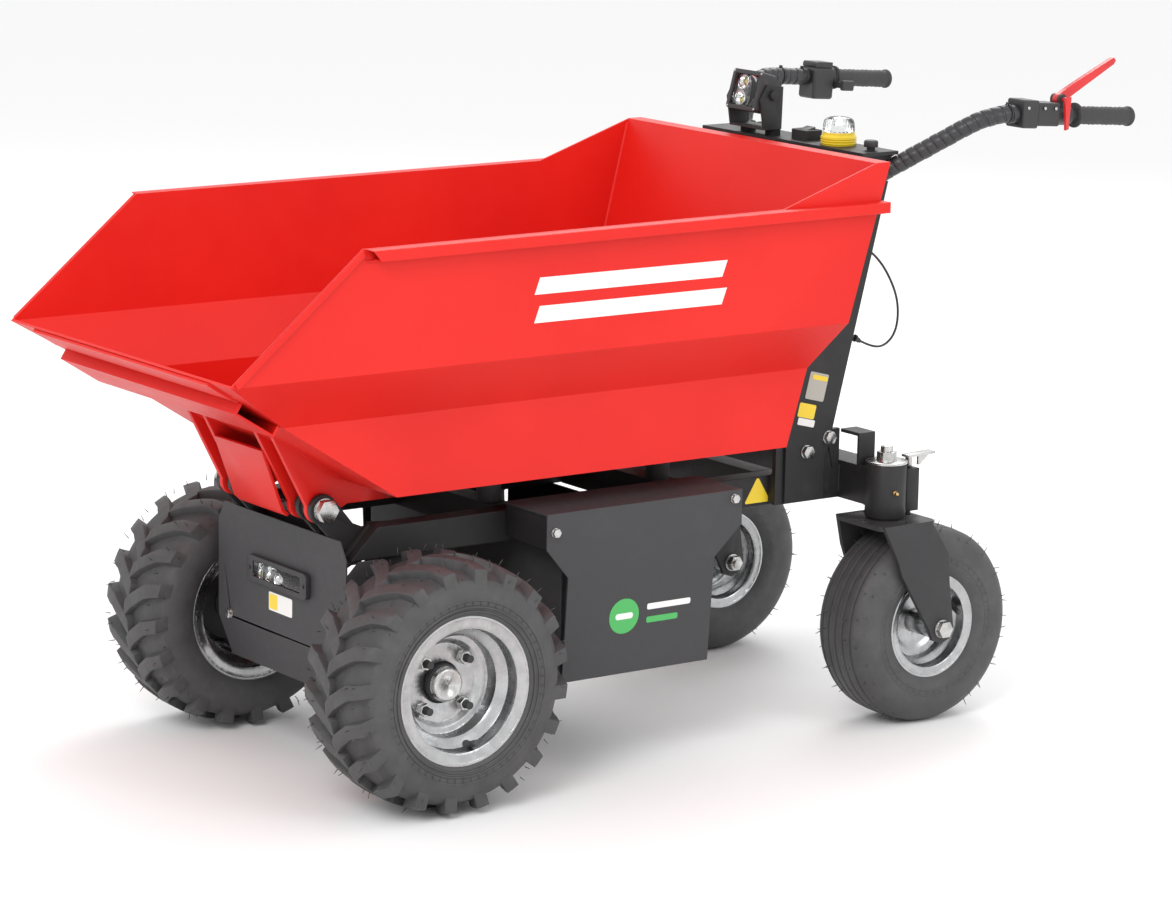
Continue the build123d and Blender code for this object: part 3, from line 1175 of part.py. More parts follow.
def rest_pads():
    """Rubber buffers on the rear cross member that the floor runners rest on."""
    x = (LUG_X[0] + LUG_X[1] + LUG_T) / 2
    z1 = FLOOR_Z - RUNNER_DEPTH - 0.3
    pads = []
    for place in (BOX_Y0 + 24, BOX_Y1 - 24):
        pads += both(rod_z(x, place, 20, RAIL_Z1, z1))
    return pads


def frame_bolts():
    """Bolts of the column feet, the battery covers and the front cover."""
    bolts = [bolt_x(y, z, FOOT_BOLT_R, COL_HALF, COL_T + FOOT_T + 6) for y, z in FOOT_BOLTS]
    bolts += [bolt_x(y, z, COVER_BOLT_R, BOX_OUT, BOX_T + 8) for y, z in FLANK_BOLTS]
    forward = Pos(COVER_BOLT_X, COVER_Y, COVER_BOLT_Z) * Rot(0, 0, -90) * bolt_x(0, 0, COVER_BOLT_R, 0, COVER_T)
    return both(*bolts, forward)


def make_controls():
    add("handlebars", *both(handlebar()))
    add("handlebar_wraps", wrap(WRAP_END_LEFT), right(wrap(WRAP_END_RIGHT)))
    add("grips", *both(grip()))
    add("switch_pod_left", switch_pod_left())
    add("switch_pod_right", *[right(piece) for piece in switch_pod_right()])
    add("release_lever", release_lever())
    add("throttle_lever", right(throttle_lever()))
    add("horn_button", horn_button())
    lamp, lens = work_light()
    add("work_light", lamp)
    add("work_light_lens", *lens)
    add("light_bracket", *light_bracket())
    base, dome = beacon()
    add("beacon_base", base)
    add("beacon_dome", dome)
    add("console_top", console_top(), rocker_housing())
    add("rocker_switch", rocker_switch())
    add("stop_knob", stop_knob())
    add("latch_hook", latch_hook())
    add("latch_bracket", latch_bracket())
    add("release_cable", release_cable())
    add("rest_pads", *rest_pads())
    add("frame_bolts", *frame_bolts())


def export_all():
    os.makedirs("parts", exist_ok=True)
    for name, solids in NODES.items():
        export_step(Compound(solids) if len(solids) > 1 else solids[0], f"parts/{name}.step")


make_tub()
make_chassis()
make_front_wheels()
make_castors()
make_controls()
export_all()
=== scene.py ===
"""Looks of the power wheelbarrow: camera, light, materials and surface detail around the CAD frame.

Metres, +Z up, -Y forward, +X to the machine's left.
"""
import json
import random
from math import cos, pi, radians, sin, sqrt, tan

import bmesh
import bpy
from mathutils import Matrix, Vector


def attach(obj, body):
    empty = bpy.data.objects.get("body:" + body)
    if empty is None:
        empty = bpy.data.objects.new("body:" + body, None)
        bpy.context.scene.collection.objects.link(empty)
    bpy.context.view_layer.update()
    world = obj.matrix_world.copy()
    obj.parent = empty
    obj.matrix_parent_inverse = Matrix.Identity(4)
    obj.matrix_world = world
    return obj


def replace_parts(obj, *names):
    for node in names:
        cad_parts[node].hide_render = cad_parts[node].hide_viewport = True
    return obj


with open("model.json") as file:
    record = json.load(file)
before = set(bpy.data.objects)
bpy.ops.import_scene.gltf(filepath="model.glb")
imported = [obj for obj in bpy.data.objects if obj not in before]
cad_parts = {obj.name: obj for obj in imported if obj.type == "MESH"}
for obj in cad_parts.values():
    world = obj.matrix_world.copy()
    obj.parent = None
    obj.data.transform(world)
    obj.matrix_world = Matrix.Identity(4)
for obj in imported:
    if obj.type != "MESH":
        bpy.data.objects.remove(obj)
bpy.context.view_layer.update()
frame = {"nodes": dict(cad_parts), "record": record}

NODES = frame["nodes"]
X, Y, Z = Vector((1, 0, 0)), Vector((0, 1, 0)), Vector((0, 0, 1))
SIDES = (("left", 1), ("right", -1))

# Places of the CAD pieces that the detail below is laid on; x is given for the left side
FRONT_HUB = (0.309, -0.5, 0.2)
CASTOR_HUB = (0.286, 0.472, 0.167)
KINGPIN_X, KINGPIN_Y = 0.286, 0.405


def on_side(k, place):
    """A place given for the left side, on the left (k = 1) or right (k = -1)."""
    return Vector((place[0] * k, place[1], place[2]))

# ---------------------------------------------------------------- camera, light and floor
CAMERA_AT = Vector((5.3811, -3.8812, 1.799))
CAMERA_AZIMUTH, CAMERA_ELEVATION, CAMERA_ROLL = radians(54.22), radians(11.45), radians(1.02)
CAMERA_LENS = 125.59
LIGHTS = (  # name, place, aim, size, power
    ("key", (3.2, -4.6, 4.6), (0, 0, 0.5), 3.0, 170),
    ("side", (5.2, 1.6, 3.0), (0, 0.2, 0.5), 2.6, 50),
    ("back", (-2.8, 3.4, 4.2), (0, 0, 0.7), 3.0, 90),
)
SKY_STRENGTH = 1.0
FLOOR_REACH = 30.0
FLOOR_SHADE = (0.93, 0.93, 0.93, 1)


def make_camera():
    camera = bpy.data.objects.new("camera", bpy.data.cameras.new("camera"))
    bpy.context.scene.collection.objects.link(camera)
    camera.data.lens = CAMERA_LENS
    camera.data.sensor_width = 36.0
    camera.data.clip_end = 100.0
    az, el, roll = CAMERA_AZIMUTH, CAMERA_ELEVATION, CAMERA_ROLL
    back = Vector((sin(az) * cos(el), -cos(az) * cos(el), sin(el)))
    level = Vector((cos(az), sin(az), 0))
    upright = back.cross(level)
    across = cos(roll) * level + sin(roll) * upright
    up = -sin(roll) * level + cos(roll) * upright
    turn = Matrix((across, up, back)).transposed()
    camera.matrix_world = Matrix.Translation(CAMERA_AT) @ turn.to_4x4()
    bpy.context.scene.camera = camera


def area_light(name, place, target, size, power):
    data = bpy.data.lights.new(name, "AREA")
    data.shape = "DISK"
    data.size = size
    data.energy = power
    light = bpy.data.objects.new(name, data)
    bpy.context.scene.collection.objects.link(light)
    light.location = place
    light.rotation_euler = (Vector(target) - Vector(place)).to_track_quat("-Z", "Y").to_euler()


def make_studio():
    for light in LIGHTS:
        area_light(*light)
    world = bpy.data.worlds.new("studio")
    bpy.context.scene.world = world
    world.use_nodes = True
    sky = world.node_tree.nodes["Background"]
    sky.inputs["Color"].default_value = (1.0, 1.0, 1.0, 1)
    sky.inputs["Strength"].default_value = SKY_STRENGTH


def make_floor():
    mesh = bpy.data.meshes.new("floor")
    reach = FLOOR_REACH
    corners = [(-reach, -reach, 0), (reach, -reach, 0), (reach, reach, 0), (-reach, reach, 0)]
    mesh.from_pydata(corners, [], [(0, 1, 2, 3)])
    floor = bpy.data.objects.new("floor", mesh)
    bpy.context.scene.collection.objects.link(floor)
    paint = bpy.data.materials.new("floor")
    paint.use_nodes = True
    shader = paint.node_tree.nodes["Principled BSDF"]
    shader.inputs["Base Color"].default_value = FLOOR_SHADE
    shader.inputs["Roughness"].default_value = 0.9
    mesh.materials.append(paint)
    bpy.context.scene.view_settings.view_transform = "Standard"


# ---------------------------------------------------------------- materials
ACRYLIC_IOR = 1.49


class Paint:
    """A node material whose pattern is laid in the object's own space, in metres."""

    def __init__(self, name, rough, metal=0.0, coat=0.0, specular=0.5):
        self.material = bpy.data.materials.new(name)
        self.material.use_nodes = True
        self.tree = self.material.node_tree
        self.shader = self.tree.nodes["Principled BSDF"]
        self.shader.inputs["Roughness"].default_value = rough
        self.shader.inputs["Metallic"].default_value = metal
        self.shader.inputs["Coat Weight"].default_value = coat
        self.shader.inputs["Coat Roughness"].default_value = 0.08
        self.shader.inputs["Specular IOR Level"].default_value = specular
        self.space = self.tree.nodes.new("ShaderNodeTexCoord").outputs["Object"]
        self.height = None

    def node(self, kind, **values):
        made = self.tree.nodes.new(kind)
        for key, value in values.items():
            setattr(made, key, value)
        return made

    def link(self, a, b):
        self.tree.links.new(a, b)

    def noise(self, scale, detail=4.0, rough=0.55):
        made = self.node("ShaderNodeTexNoise")
        made.inputs["Scale"].default_value = scale
        made.inputs["Detail"].default_value = detail
        made.inputs["Roughness"].default_value = rough
        self.link(self.space, made.inputs["Vector"])
        return made.outputs["Fac"]

    def cells(self, scale):
        made = self.node("ShaderNodeTexVoronoi", feature="F1")
        made.inputs["Scale"].default_value = scale
        self.link(self.space, made.inputs["Vector"])
        return made.outputs["Distance"]

    def ramp(self, source, *stops):
        """Stops are (position, grey or colour)."""
        made = self.node("ShaderNodeValToRGB")
        ends = made.color_ramp.elements
        while len(ends) < len(stops):
            ends.new(0.5)
        for end, (place, value) in zip(ends, stops):
            end.position = place
            end.color = (*value, 1) if hasattr(value, "__len__") else (value, value, value, 1)
        self.link(source, made.inputs["Fac"])
        return made.outputs["Color"]

    def mix(self, share, a, b):
        made = self.node("ShaderNodeMix", data_type="RGBA")
        for socket, value in ((made.inputs[0], share), (made.inputs[6], a), (made.inputs[7], b)):
            if hasattr(value, "is_linked"):
                self.link(value, socket)
            else:
                socket.default_value = (*value, 1) if hasattr(value, "__len__") else value
        return made.outputs[2]

    def colour(self, source):
        self.link(source, self.shader.inputs["Base Color"])
        return self

    def roughness(self, source, low, high):
        spread = self.node("ShaderNodeMapRange")
        spread.inputs["To Min"].default_value = low
        spread.inputs["To Max"].default_value = high
        self.link(source, spread.inputs["Value"])
        self.link(spread.outputs["Result"], self.shader.inputs["Roughness"])
        return self

    def bump(self, source, depth, strength=1.0):
        """Adds relief of that depth in metres."""
        made = self.node("ShaderNodeBump")
        made.inputs["Strength"].default_value = strength
        made.inputs["Distance"].default_value = depth
        self.link(source, made.inputs["Height"])
        if self.height:
            self.link(self.height, made.inputs["Normal"])
        self.height = made.outputs["Normal"]
        self.link(self.height, self.shader.inputs["Normal"])
        return self


def scaled(shade, factor, add=0.0):
    return tuple(c * factor + add for c in shade)


def powder_coat(name, shade, deep, rough, texture):
    """Powder coat: slight cloudiness, orange peel and faint dust."""
    paint = Paint(name, rough, specular=0.3)
    cloud = paint.ramp(paint.noise(3.5, 3), (0.35, deep), (0.65, shade))
    dust = paint.ramp(paint.noise(45, 6, 0.7), (0.62, 0.0), (0.9, 0.12))
    paint.colour(paint.mix(dust, cloud, scaled(shade, 0.75, 0.1)))
    paint.roughness(paint.noise(28, 5), rough - 0.06, rough + 0.1)
    paint.bump(paint.noise(520, 2), texture)
    return paint.bump(paint.noise(9, 2), texture * 5, 0.5).material


def textured_coat(name, shade, rough):
    """Fine-textured black powder coat."""
    paint = Paint(name, rough, specular=0.34)
    grain = paint.noise(1500, 3, 0.6)
    fine = paint.ramp(grain, (0.3, scaled(shade, 0.78)), (0.72, scaled(shade, 1.25)))
    dust = paint.ramp(paint.noise(14, 6, 0.65), (0.55, 0.0), (0.85, 0.22))
    paint.colour(paint.mix(dust, fine, (0.10, 0.097, 0.094)))
    paint.roughness(paint.noise(60, 4), rough - 0.07, rough + 0.12)
    return paint.bump(grain, 0.00025, 0.6).material


def zinc_plate(name, shade, tint, rough):
    """Plated or bare metal, patchy between two shades."""
    paint = Paint(name, rough, metal=1.0)
    paint.colour(paint.ramp(paint.noise(90, 4), (0.35, tint), (0.65, shade)))
    paint.roughness(paint.noise(300, 4), rough - 0.08, rough + 0.14)
    return paint.bump(paint.noise(900, 3), 0.00008).material


def galvanised(name):
    """Bright zinc over spun steel: even and pale, with faint cloudy patches."""
    paint = Paint(name, 0.3, metal=1.0)
    flakes = paint.ramp(paint.noise(55, 5, 0.6), (0.3, (0.40, 0.405, 0.41)), (0.7, (0.52, 0.525, 0.53)))
    dull = paint.ramp(paint.noise(9, 4), (0.55, 0.0), (0.8, 0.35))
    paint.colour(paint.mix(dull, flakes, (0.33, 0.33, 0.33)))
    paint.roughness(paint.noise(26, 4), 0.18, 0.36)
    return paint.bump(paint.noise(400, 3), 0.00004).material


def tyre_rubber(name, shade):
    """Carbon-black rubber with a dusty bloom."""
    paint = Paint(name, 0.6, specular=0.5)
    bloom = paint.ramp(paint.noise(22, 7, 0.68), (0.4, 0.0), (0.78, 0.6))
    paint.colour(paint.mix(bloom, shade, scaled(shade, 1.6, 0.012)))
    paint.roughness(paint.noise(70, 4), 0.46, 0.7)
    paint.bump(paint.noise(1100, 3), 0.00012)
    return paint.bump(paint.noise(130, 3), 0.0003, 0.5).material


def moulded(name, shade, rough, coat=0.0, grain=0.00006, grain_scale=1600):
    """Moulded plastic with a fine grain."""
    paint = Paint(name, rough, coat=coat)
    paint.colour(paint.ramp(paint.noise(26, 4), (0.3, scaled(shade, 0.86)), (0.7, shade)))
    paint.roughness(paint.noise(140, 3), rough - 0.05, rough + 0.08)
    return paint.bump(paint.noise(grain_scale, 2), grain).material


def clear(name, tint, rough):
    """Clear moulding with faint flow marks."""
    paint = Paint(name, rough)
    paint.shader.inputs["Transmission Weight"].default_value = 1.0
    paint.shader.inputs["IOR"].default_value = ACRYLIC_IOR
    bright = tuple(min(1, c) for c in scaled(tint, 1.04))
    paint.colour(paint.ramp(paint.noise(60, 2), (0.3, tint), (0.7, bright)))
    return paint.bump(paint.noise(220, 2), 0.00004).material


def reflector(name):
    """Bright metallised plastic."""
    paint = Paint(name, 0.08, metal=1.0)
    paint.colour(paint.ramp(paint.noise(500, 2), (0.3, (0.80, 0.80, 0.80)), (0.7, (0.92, 0.92, 0.92))))
    return paint.material


def phosphor(name):
    """Yellow LED chip."""
    paint = Paint(name, 0.35)
    paint.colour(paint.ramp(paint.cells(2500), (0.2, (0.75, 0.62, 0.10)), (0.8, (0.92, 0.80, 0.25))))
    return paint.material


def printed(name, shade):
    """Vinyl sticker: flat colour with faint scuffs."""
    paint = Paint(name, 0.4, coat=0.15)
    scuff = paint.ramp(paint.noise(120, 6, 0.7), (0.6, 0.0), (0.82, 0.25))
    paint.colour(paint.mix(scuff, shade, scaled(shade, 0.8, 0.06)))
    return paint.bump(paint.noise(200, 3), 0.00005).material


def make_materials():
    red, black = (0.72, 0.016, 0.010), (0.022, 0.022, 0.023)
    return {
        "tub_paint": powder_coat("tub_paint", red, (0.66, 0.012, 0.008), 0.40, 0.00006),
        "frame_paint": textured_coat("frame_paint", black, 0.46),
        "cover_paint": textured_coat("cover_paint", (0.048, 0.048, 0.051), 0.52),
        "fork_steel": textured_coat("fork_steel", (0.034, 0.034, 0.036), 0.5),
        "zinc": zinc_plate("zinc", (0.60, 0.60, 0.60), (0.47, 0.465, 0.45), 0.24),
        "galvanised_rim": galvanised("galvanised_rim"),
        "cast_hub": textured_coat("cast_hub", (0.045, 0.045, 0.047), 0.5),
        "tyre": tyre_rubber("tyre", (0.052, 0.052, 0.054)),
        "bar_steel": textured_coat("bar_steel", (0.035, 0.035, 0.037), 0.4),
        "wrap": moulded("wrap", (0.030, 0.030, 0.033), 0.42, coat=0.1),
        "grip_rubber": moulded("grip_rubber", (0.042, 0.042, 0.044), 0.62, grain=0.0002,
                               grain_scale=900),
        "pod_plastic": moulded("pod_plastic", (0.032, 0.032, 0.034), 0.45, grain=0.00012),
        "lever_plastic": moulded("lever_plastic", (0.66, 0.022, 0.024), 0.34, coat=0.15),
        "button_plastic": moulded("button_plastic", (0.10, 0.42, 0.12), 0.3, coat=0.2),
        "beacon_yellow": moulded("beacon_yellow", (0.83, 0.60, 0.02), 0.34, coat=0.15),
        "beacon_clear": clear("beacon_clear", (0.93, 0.95, 0.95), 0.08),
        "lamp_body": textured_coat("lamp_body", (0.04, 0.04, 0.043), 0.42),
        "lamp_lens": clear("lamp_lens", (0.95, 0.96, 0.97), 0.03),
        "battery_case": moulded("battery_case", (0.14, 0.14, 0.15), 0.5),
        "controller": zinc_plate("controller", (0.24, 0.24, 0.25), (0.2, 0.2, 0.21), 0.45),
        "cable": moulded("cable", (0.022, 0.022, 0.024), 0.4),
        "reflector": reflector("reflector"),
        "phosphor": phosphor("phosphor"),
        "silver_plastic": moulded("silver_plastic", (0.42, 0.43, 0.45), 0.35, coat=0.1),
        "grey_plastic": moulded("grey_plastic", (0.22, 0.23, 0.24), 0.5),
        "white_print": printed("white_print", (0.80, 0.80, 0.78)),
        "yellow_print": printed("yellow_print", (0.85, 0.62, 0.03)),
        "green_print": printed("green_print", (0.06, 0.42, 0.10)),
        "grey_print": printed("grey_print", (0.42, 0.41, 0.36)),
        "brass": zinc_plate("brass", (0.70, 0.52, 0.24), (0.55, 0.40, 0.18), 0.3),
    }


# ---------------------------------------------------------------- mesh helpers
def piece(name, verts, faces, look, body, smooth=True):
    """A new mesh object that rides on a body."""
    mesh = bpy.data.meshes.new(name)
    mesh.from_pydata([tuple(v) for v in verts], [], faces)
    work = bmesh.new()
    work.from_mesh(mesh)
    bmesh.ops.recalc_face_normals(work, faces=work.faces)
    work.to_mesh(mesh)
    work.free()
    mesh.polygons.foreach_set("use_smooth", [smooth] * len(mesh.polygons))
    mesh.materials.append(LOOKS[look])
    made = bpy.data.objects.new(name, mesh)
    bpy.context.scene.collection.objects.link(made)
    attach(made, body)
    return made


class Build:
    """Collects several closed shapes into one mesh."""

    def __init__(self):
        self.verts, self.faces = [], []

    def ring_skin(self, rings):
        """Capped skin over rings of equally many points."""
        first, n = len(self.verts), len(rings[0])
        for ring in rings:
            self.verts += ring
        count = len(rings)
        for i in range(count - 1):
            a, b = first + i * n, first + (i + 1) * n
            for k in range(n):
                self.faces.append((a + k, a + (k + 1) % n, b + (k + 1) % n, b + k))
        self.faces.append(tuple(range(first + n - 1, first - 1, -1)))
        self.faces.append(tuple(first + (count - 1) * n + k for k in range(n)))

    def turned(self, place, axis, profile, n=48, closed=False):
        """Revolves (along, radius) points about the axis through place."""
        axis = Vector(axis).normalized()
        side = axis.orthogonal().normalized()
        other = axis.cross(side)
        rings = []
        for k in range(n):
            out = cos(2 * pi * k / n) * side + sin(2 * pi * k / n) * other
            rings.append([Vector(place) + axis * along + out * radius for along, radius in profile])
        first, m = len(self.verts), len(profile)
        for ring in rings:
            self.verts += ring
        for k in range(n):
            a, b = first + k * m, first + (k + 1) % n * m
            for i in range(m if closed else m - 1):
                j = (i + 1) % m
                self.faces.append((a + i, a + j, b + j, b + i))
        if not closed:
            self.faces.append(tuple(first + k * m for k in range(n)))
            self.faces.append(tuple(first + k * m + m - 1 for k in reversed(range(n))))

    def block(self, place, u, v, w, size, chamfer):
        """Chamfered block; u, v and w are its directions and size its three lengths."""
        a, b, c = (s / 2 for s in size)
        rings = []
        for level, inset in ((-c, chamfer), (-c + chamfer, 0), (c - chamfer, 0), (c, chamfer)):
            p, q, k = a - inset, b - inset, chamfer
            corner = [(p - k, -q), (p, -q + k), (p, q - k), (p - k, q),
                      (-p + k, q), (-p, q - k), (-p, -q + k), (-p + k, -q)]
            rings.append([Vector(place) + u * s + v * t + w * level for s, t in corner])
        self.ring_skin(rings)

    def mirror(self):
        """Swaps left and right."""
        self.verts = [Vector((-v.x, v.y, v.z)) for v in self.verts]

    def done(self, name, look, body, slot, smooth=True):
        return piece(name, self.verts, self.faces, look, body, smooth)


def walk(points, step):
    """Points a step apart along a polyline, each with the direction of travel."""
    found = []
    for a, b in zip(points, points[1:]):
        a, b = Vector(a), Vector(b)
        count = max(1, round((b - a).length / step))
        for i in range(count):
            found.append((a.lerp(b, i / count), (b - a).normalized()))
    found.append((Vector(points[-1]), (Vector(points[-1]) - Vector(points[-2])).normalized()))
    return found


RIPPLE_STEPS = 3
WELD_ARC = 8


def weld(build, points, normal, radius=0.0028, pitch=0.0026):
    """Rippled weld bead laid along a line; normal points out of the corner."""
    normal = Vector(normal).normalized()
    rings = []
    steps = walk(points, pitch / RIPPLE_STEPS)
    for i, (place, along) in enumerate(steps):
        side = along.cross(normal).normalized()
        wave = 0.82 + 0.18 * abs(sin(pi * i / RIPPLE_STEPS))
        end = min(1.0, i / RIPPLE_STEPS, (len(steps) - 1 - i) / RIPPLE_STEPS)
        r = radius * wave * (0.35 + 0.65 * end)
        ring = []
        for k in range(WELD_ARC + 1):
            a = pi * k / WELD_ARC
            ring.append(place + side * (cos(a) * r * 1.15) + normal * (sin(a) * r * 0.8))
        ring.append(place - normal * r * 0.5)
        rings.append(ring)
    build.ring_skin(rings)


# ---------------------------------------------------------------- CAD nodes
BEVELS = {  # width of the rounded edge, and the nodes that have it
    0.0018: ("tub_rims", "chassis_rails", "cross_members", "castor_beam", "pivot_plates", "front_cover"),
    0.0012: ("console_top", "column_feet", "light_bracket", "latch_bracket", "battery_cover_left",
             "battery_cover_right", "castor_fork_left", "castor_fork_right", "release_lever", "tub_legs",
             "lip_stiffener"),
    0.0007: ("frame_bolts", "pivot_bolts", "castor_pins_left", "castor_pins_right", "wheel_nuts_left",
             "wheel_nuts_right", "lock_pin_left", "lock_pin_right", "throttle_lever", "rocker_switch"),
    0.0025: ("front_tyre_left", "front_tyre_right"),
}
FINE_BEVEL = 0.0004
BEVEL_FROM = radians(28)
JOIN_WITHIN = 0.00001
# Nodes made of flat sheet or tube, shaded face by face
FLAT = ("front_cover", "column_shell", "column_feet", "battery_cover_left", "battery_cover_right",
        "console_top", "pivot_plates", "chassis_rails", "cross_members", "tub_shell", "tub_rear_wall",
        "tub_rims", "lip_stiffener", "battery_tray", "batteries")


def dress_frame():
    """Gives every CAD node its material, and rounds the visible edges."""
    for entry in frame["record"]["subparts"]:
        node = NODES[entry["node"]]
        node.data.materials.clear()
        node.data.materials.append(LOOKS[entry["material_slot"]])
        flat = entry["node"] in FLAT
        node.data.polygons.foreach_set("use_smooth", [not flat] * len(node.data.polygons))
        join = node.modifiers.new("join", "WELD")
        join.merge_threshold = JOIN_WITHIN
        width = next((w for w, names in BEVELS.items() if entry["node"] in names), FINE_BEVEL)
        edge = node.modifiers.new("edge", "BEVEL")
        edge.width = width
        edge.segments = 2
        edge.limit_method = "ANGLE"
        edge.angle_limit = BEVEL_FROM
        edge.harden_normals = not flat


# ---------------------------------------------------------------- handlebars
BAR_ROOT = Vector((0.176, 0.434, 0.897))
BAR_BEND = Vector((0.320, 0.576, 1.018))
BAR_RUN = Vector((0, 1, -0.07)).normalized()
BEND_R = 0.094
WRAP_START = 0.033
WRAP_ENDS = (("wrap_left", False, 0.628), ("wrap_right", True, 0.697))
WRAP_PITCH, WRAP_BAND, WRAP_STEP = 0.0150, 0.0134, 0.0008
WRAP_INNER, WRAP_OUTER, WRAP_CORE = 0.0136, 0.0149, 0.0141
GRIP_START, GRIP_END = 0.758, 0.887
FLANGE, DOME = 0.0055, 0.0075
TIES = ((1, 0.612), (-1, 0.640), (-1, 0.688))


def bar_at(y):
    """Centre of the left bar's straight run at y."""
    return BAR_BEND + BAR_RUN * ((y - BAR_BEND.y) / BAR_RUN.y)


def bar_line(start, end_y, step):
    """(place, direction) along the left bar from a distance past its root to end_y."""
    first = (BAR_BEND - BAR_ROOT).normalized()
    turn = first.angle(BAR_RUN)
    reach = BEND_R * tan(turn / 2)
    enter = BAR_BEND - first * reach
    inward = (BAR_RUN - first * BAR_RUN.dot(first)).normalized()
    centre = enter + inward * BEND_R
    found = []
    run = (enter - BAR_ROOT).length - start
    for i in range(int(run / step)):
        found.append((BAR_ROOT + first * (start + i * step), first))
    turns = max(2, int(BEND_R * turn / step))
    for i in range(turns):
        a = turn * i / turns
        place = centre - inward * cos(a) * BEND_R + first * sin(a) * BEND_R
        found.append((place, first * cos(a) + inward * sin(a)))
    leave = BAR_BEND + BAR_RUN * reach
    count = int((end_y - leave.y) / BAR_RUN.y / step)
    for i in range(count + 1):
        found.append((leave + BAR_RUN * (i * step), BAR_RUN))
    return found


def carried(line):
    """(place, direction, side, other side) along a line, with sides that don't spin about it."""
    side = line[0][1].cross(Z).normalized()
    for place, along in line:
        side = (side - along * side.dot(along)).normalized()
        yield place, along, side, along.cross(side)


def spiral_wrap(name, flip, end_y):
    """Spiral-cut sleeve round the bar and the wires under it."""
    inner, outer, lip = WRAP_INNER, WRAP_OUTER, WRAP_OUTER - 0.0005
    section = ((-0.5, inner), (-0.5, lip), (-0.36, outer), (0.36, outer), (0.5, lip), (0.5, inner))
    line = bar_line(WRAP_START, end_y, WRAP_STEP)
    build = Build()
    rings = []
    for i, (place, along, side, other) in enumerate(carried(line)):
        a = 2 * pi * i * WRAP_STEP / WRAP_PITCH
        out = cos(a) * side + sin(a) * other
        swell = 1 + 0.02 * sin(i * 0.21)
        rings.append([place + along * (s * WRAP_BAND) + out * r * swell for s, r in section])
    build.ring_skin(rings)
    core, turns = [], [2 * pi * k / 20 for k in range(20)]
    for place, along, side, other in carried(line[::6]):
        core.append([place + (cos(a) * side + sin(a) * other) * WRAP_CORE for a in turns])
    build.ring_skin(core)
    if flip:
        build.mirror()
    return build.done(name, "wrap", "chassis", "wrap")


def grip_radius(s, length, a):
    """Radius of the grip at the length s along it and the angle a round it."""
    if s < FLANGE:
        edge = min(1.0, min(s, FLANGE - s) / 0.0014)
        return 0.0195 + 0.0015 * sqrt(max(0.0, edge))
    if s > length - DOME:
        return 0.0168 - 0.004 * (max(0.0, s - length + 0.004) / 0.004) ** 2
    tread = max(0.0, sin(12 * a + s * 620)) * max(0.0, sin(12 * a - s * 620))
    finger = 0.0002 * sin(s * 190)
    return 0.0150 + 0.0007 * tread + finger


def grip(name, flip):
    """Moulded grip: flange, diamond tread on the barrel and a domed end."""
    origin = bar_at(GRIP_START)
    length = (GRIP_END - GRIP_START) / BAR_RUN.y
    side = X
    other = BAR_RUN.cross(side)
    around, along = 120, 150
    rings = []
    for i in range(along + 1):
        s = length * i / along
        ring = []
        for k in range(around):
            a = 2 * pi * k / around
            r = grip_radius(s, length, a)
            ring.append(origin + BAR_RUN * s + (cos(a) * side + sin(a) * other) * r)
        rings.append(ring)
    build = Build()
    build.ring_skin(rings)
    if flip:
        build.mirror()
    return build.done(name, "grip_rubber", "chassis", "grip_rubber")


def make_bars():
    for wrap in WRAP_ENDS:
        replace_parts(spiral_wrap(*wrap), "handlebar_wraps")
    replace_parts(grip("grip_left", False), "grips")
    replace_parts(grip("grip_right", True), "grips")
    ties = Build()
    band = [(-0.0018, 0.0150), (-0.0018, 0.0160), (0.0018, 0.0160), (0.0018, 0.0150)]
    for k, y in TIES:
        place = on_side(k, bar_at(y))
        ties.turned(place, BAR_RUN, band, 40, True)
        ties.block(place + Z * 0.0172, X, BAR_RUN, Z, (0.005, 0.005, 0.004), 0.0006)
    ties.done("cable_ties", "cable", "chassis", "cable")


# ---------------------------------------------------------------- release cable
CABLE_POINTS = [
    (0.185, 0.421, 0.792), (0.185, 0.448, 0.777), (0.185, 0.482, 0.738), (0.185, 0.505, 0.690),
    (0.185, 0.503, 0.640), (0.185, 0.475, 0.615), (0.185, 0.438, 0.622), (0.185, 0.404, 0.641),
]
CABLE_D = 0.004
BOOT = [(0.008, 0.0023), (0.008, 0.0062), (0.0115, 0.0062), (0.0125, 0.0046), (0.016, 0.0042),
        (0.018, 0.0046), (0.020, 0.0036), (0.023, 0.0030), (0.023, 0.0023)]  # (along, radius)


def make_cable():
    curve = bpy.data.curves.new("release_cable_loop", "CURVE")
    curve.dimensions = "3D"
    curve.bevel_depth = CABLE_D / 2
    curve.bevel_resolution = 4
    curve.resolution_u = 16
    curve.use_fill_caps = True
    spline = curve.splines.new("NURBS")
    spline.points.add(len(CABLE_POINTS) - 1)
    for point, place in zip(spline.points, CABLE_POINTS):
        point.co = (*place, 1)
    spline.order_u = 3
    spline.use_endpoint_u = True
    curve.materials.append(LOOKS["cable"])
    cable = bpy.data.objects.new("release_cable_loop", curve)
    bpy.context.scene.collection.objects.link(cable)
    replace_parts(cable, "release_cable")
    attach(cable, "chassis")
    boots = Build()
    for a, b in ((CABLE_POINTS[0], CABLE_POINTS[1]), (CABLE_POINTS[-1], CABLE_POINTS[-2])):
        a, along = Vector(a), (Vector(b) - Vector(a)).normalized()
        boots.turned(a, along, BOOT, 28, True)
    boots.done("cable_boots", "cable", "chassis", "cable")


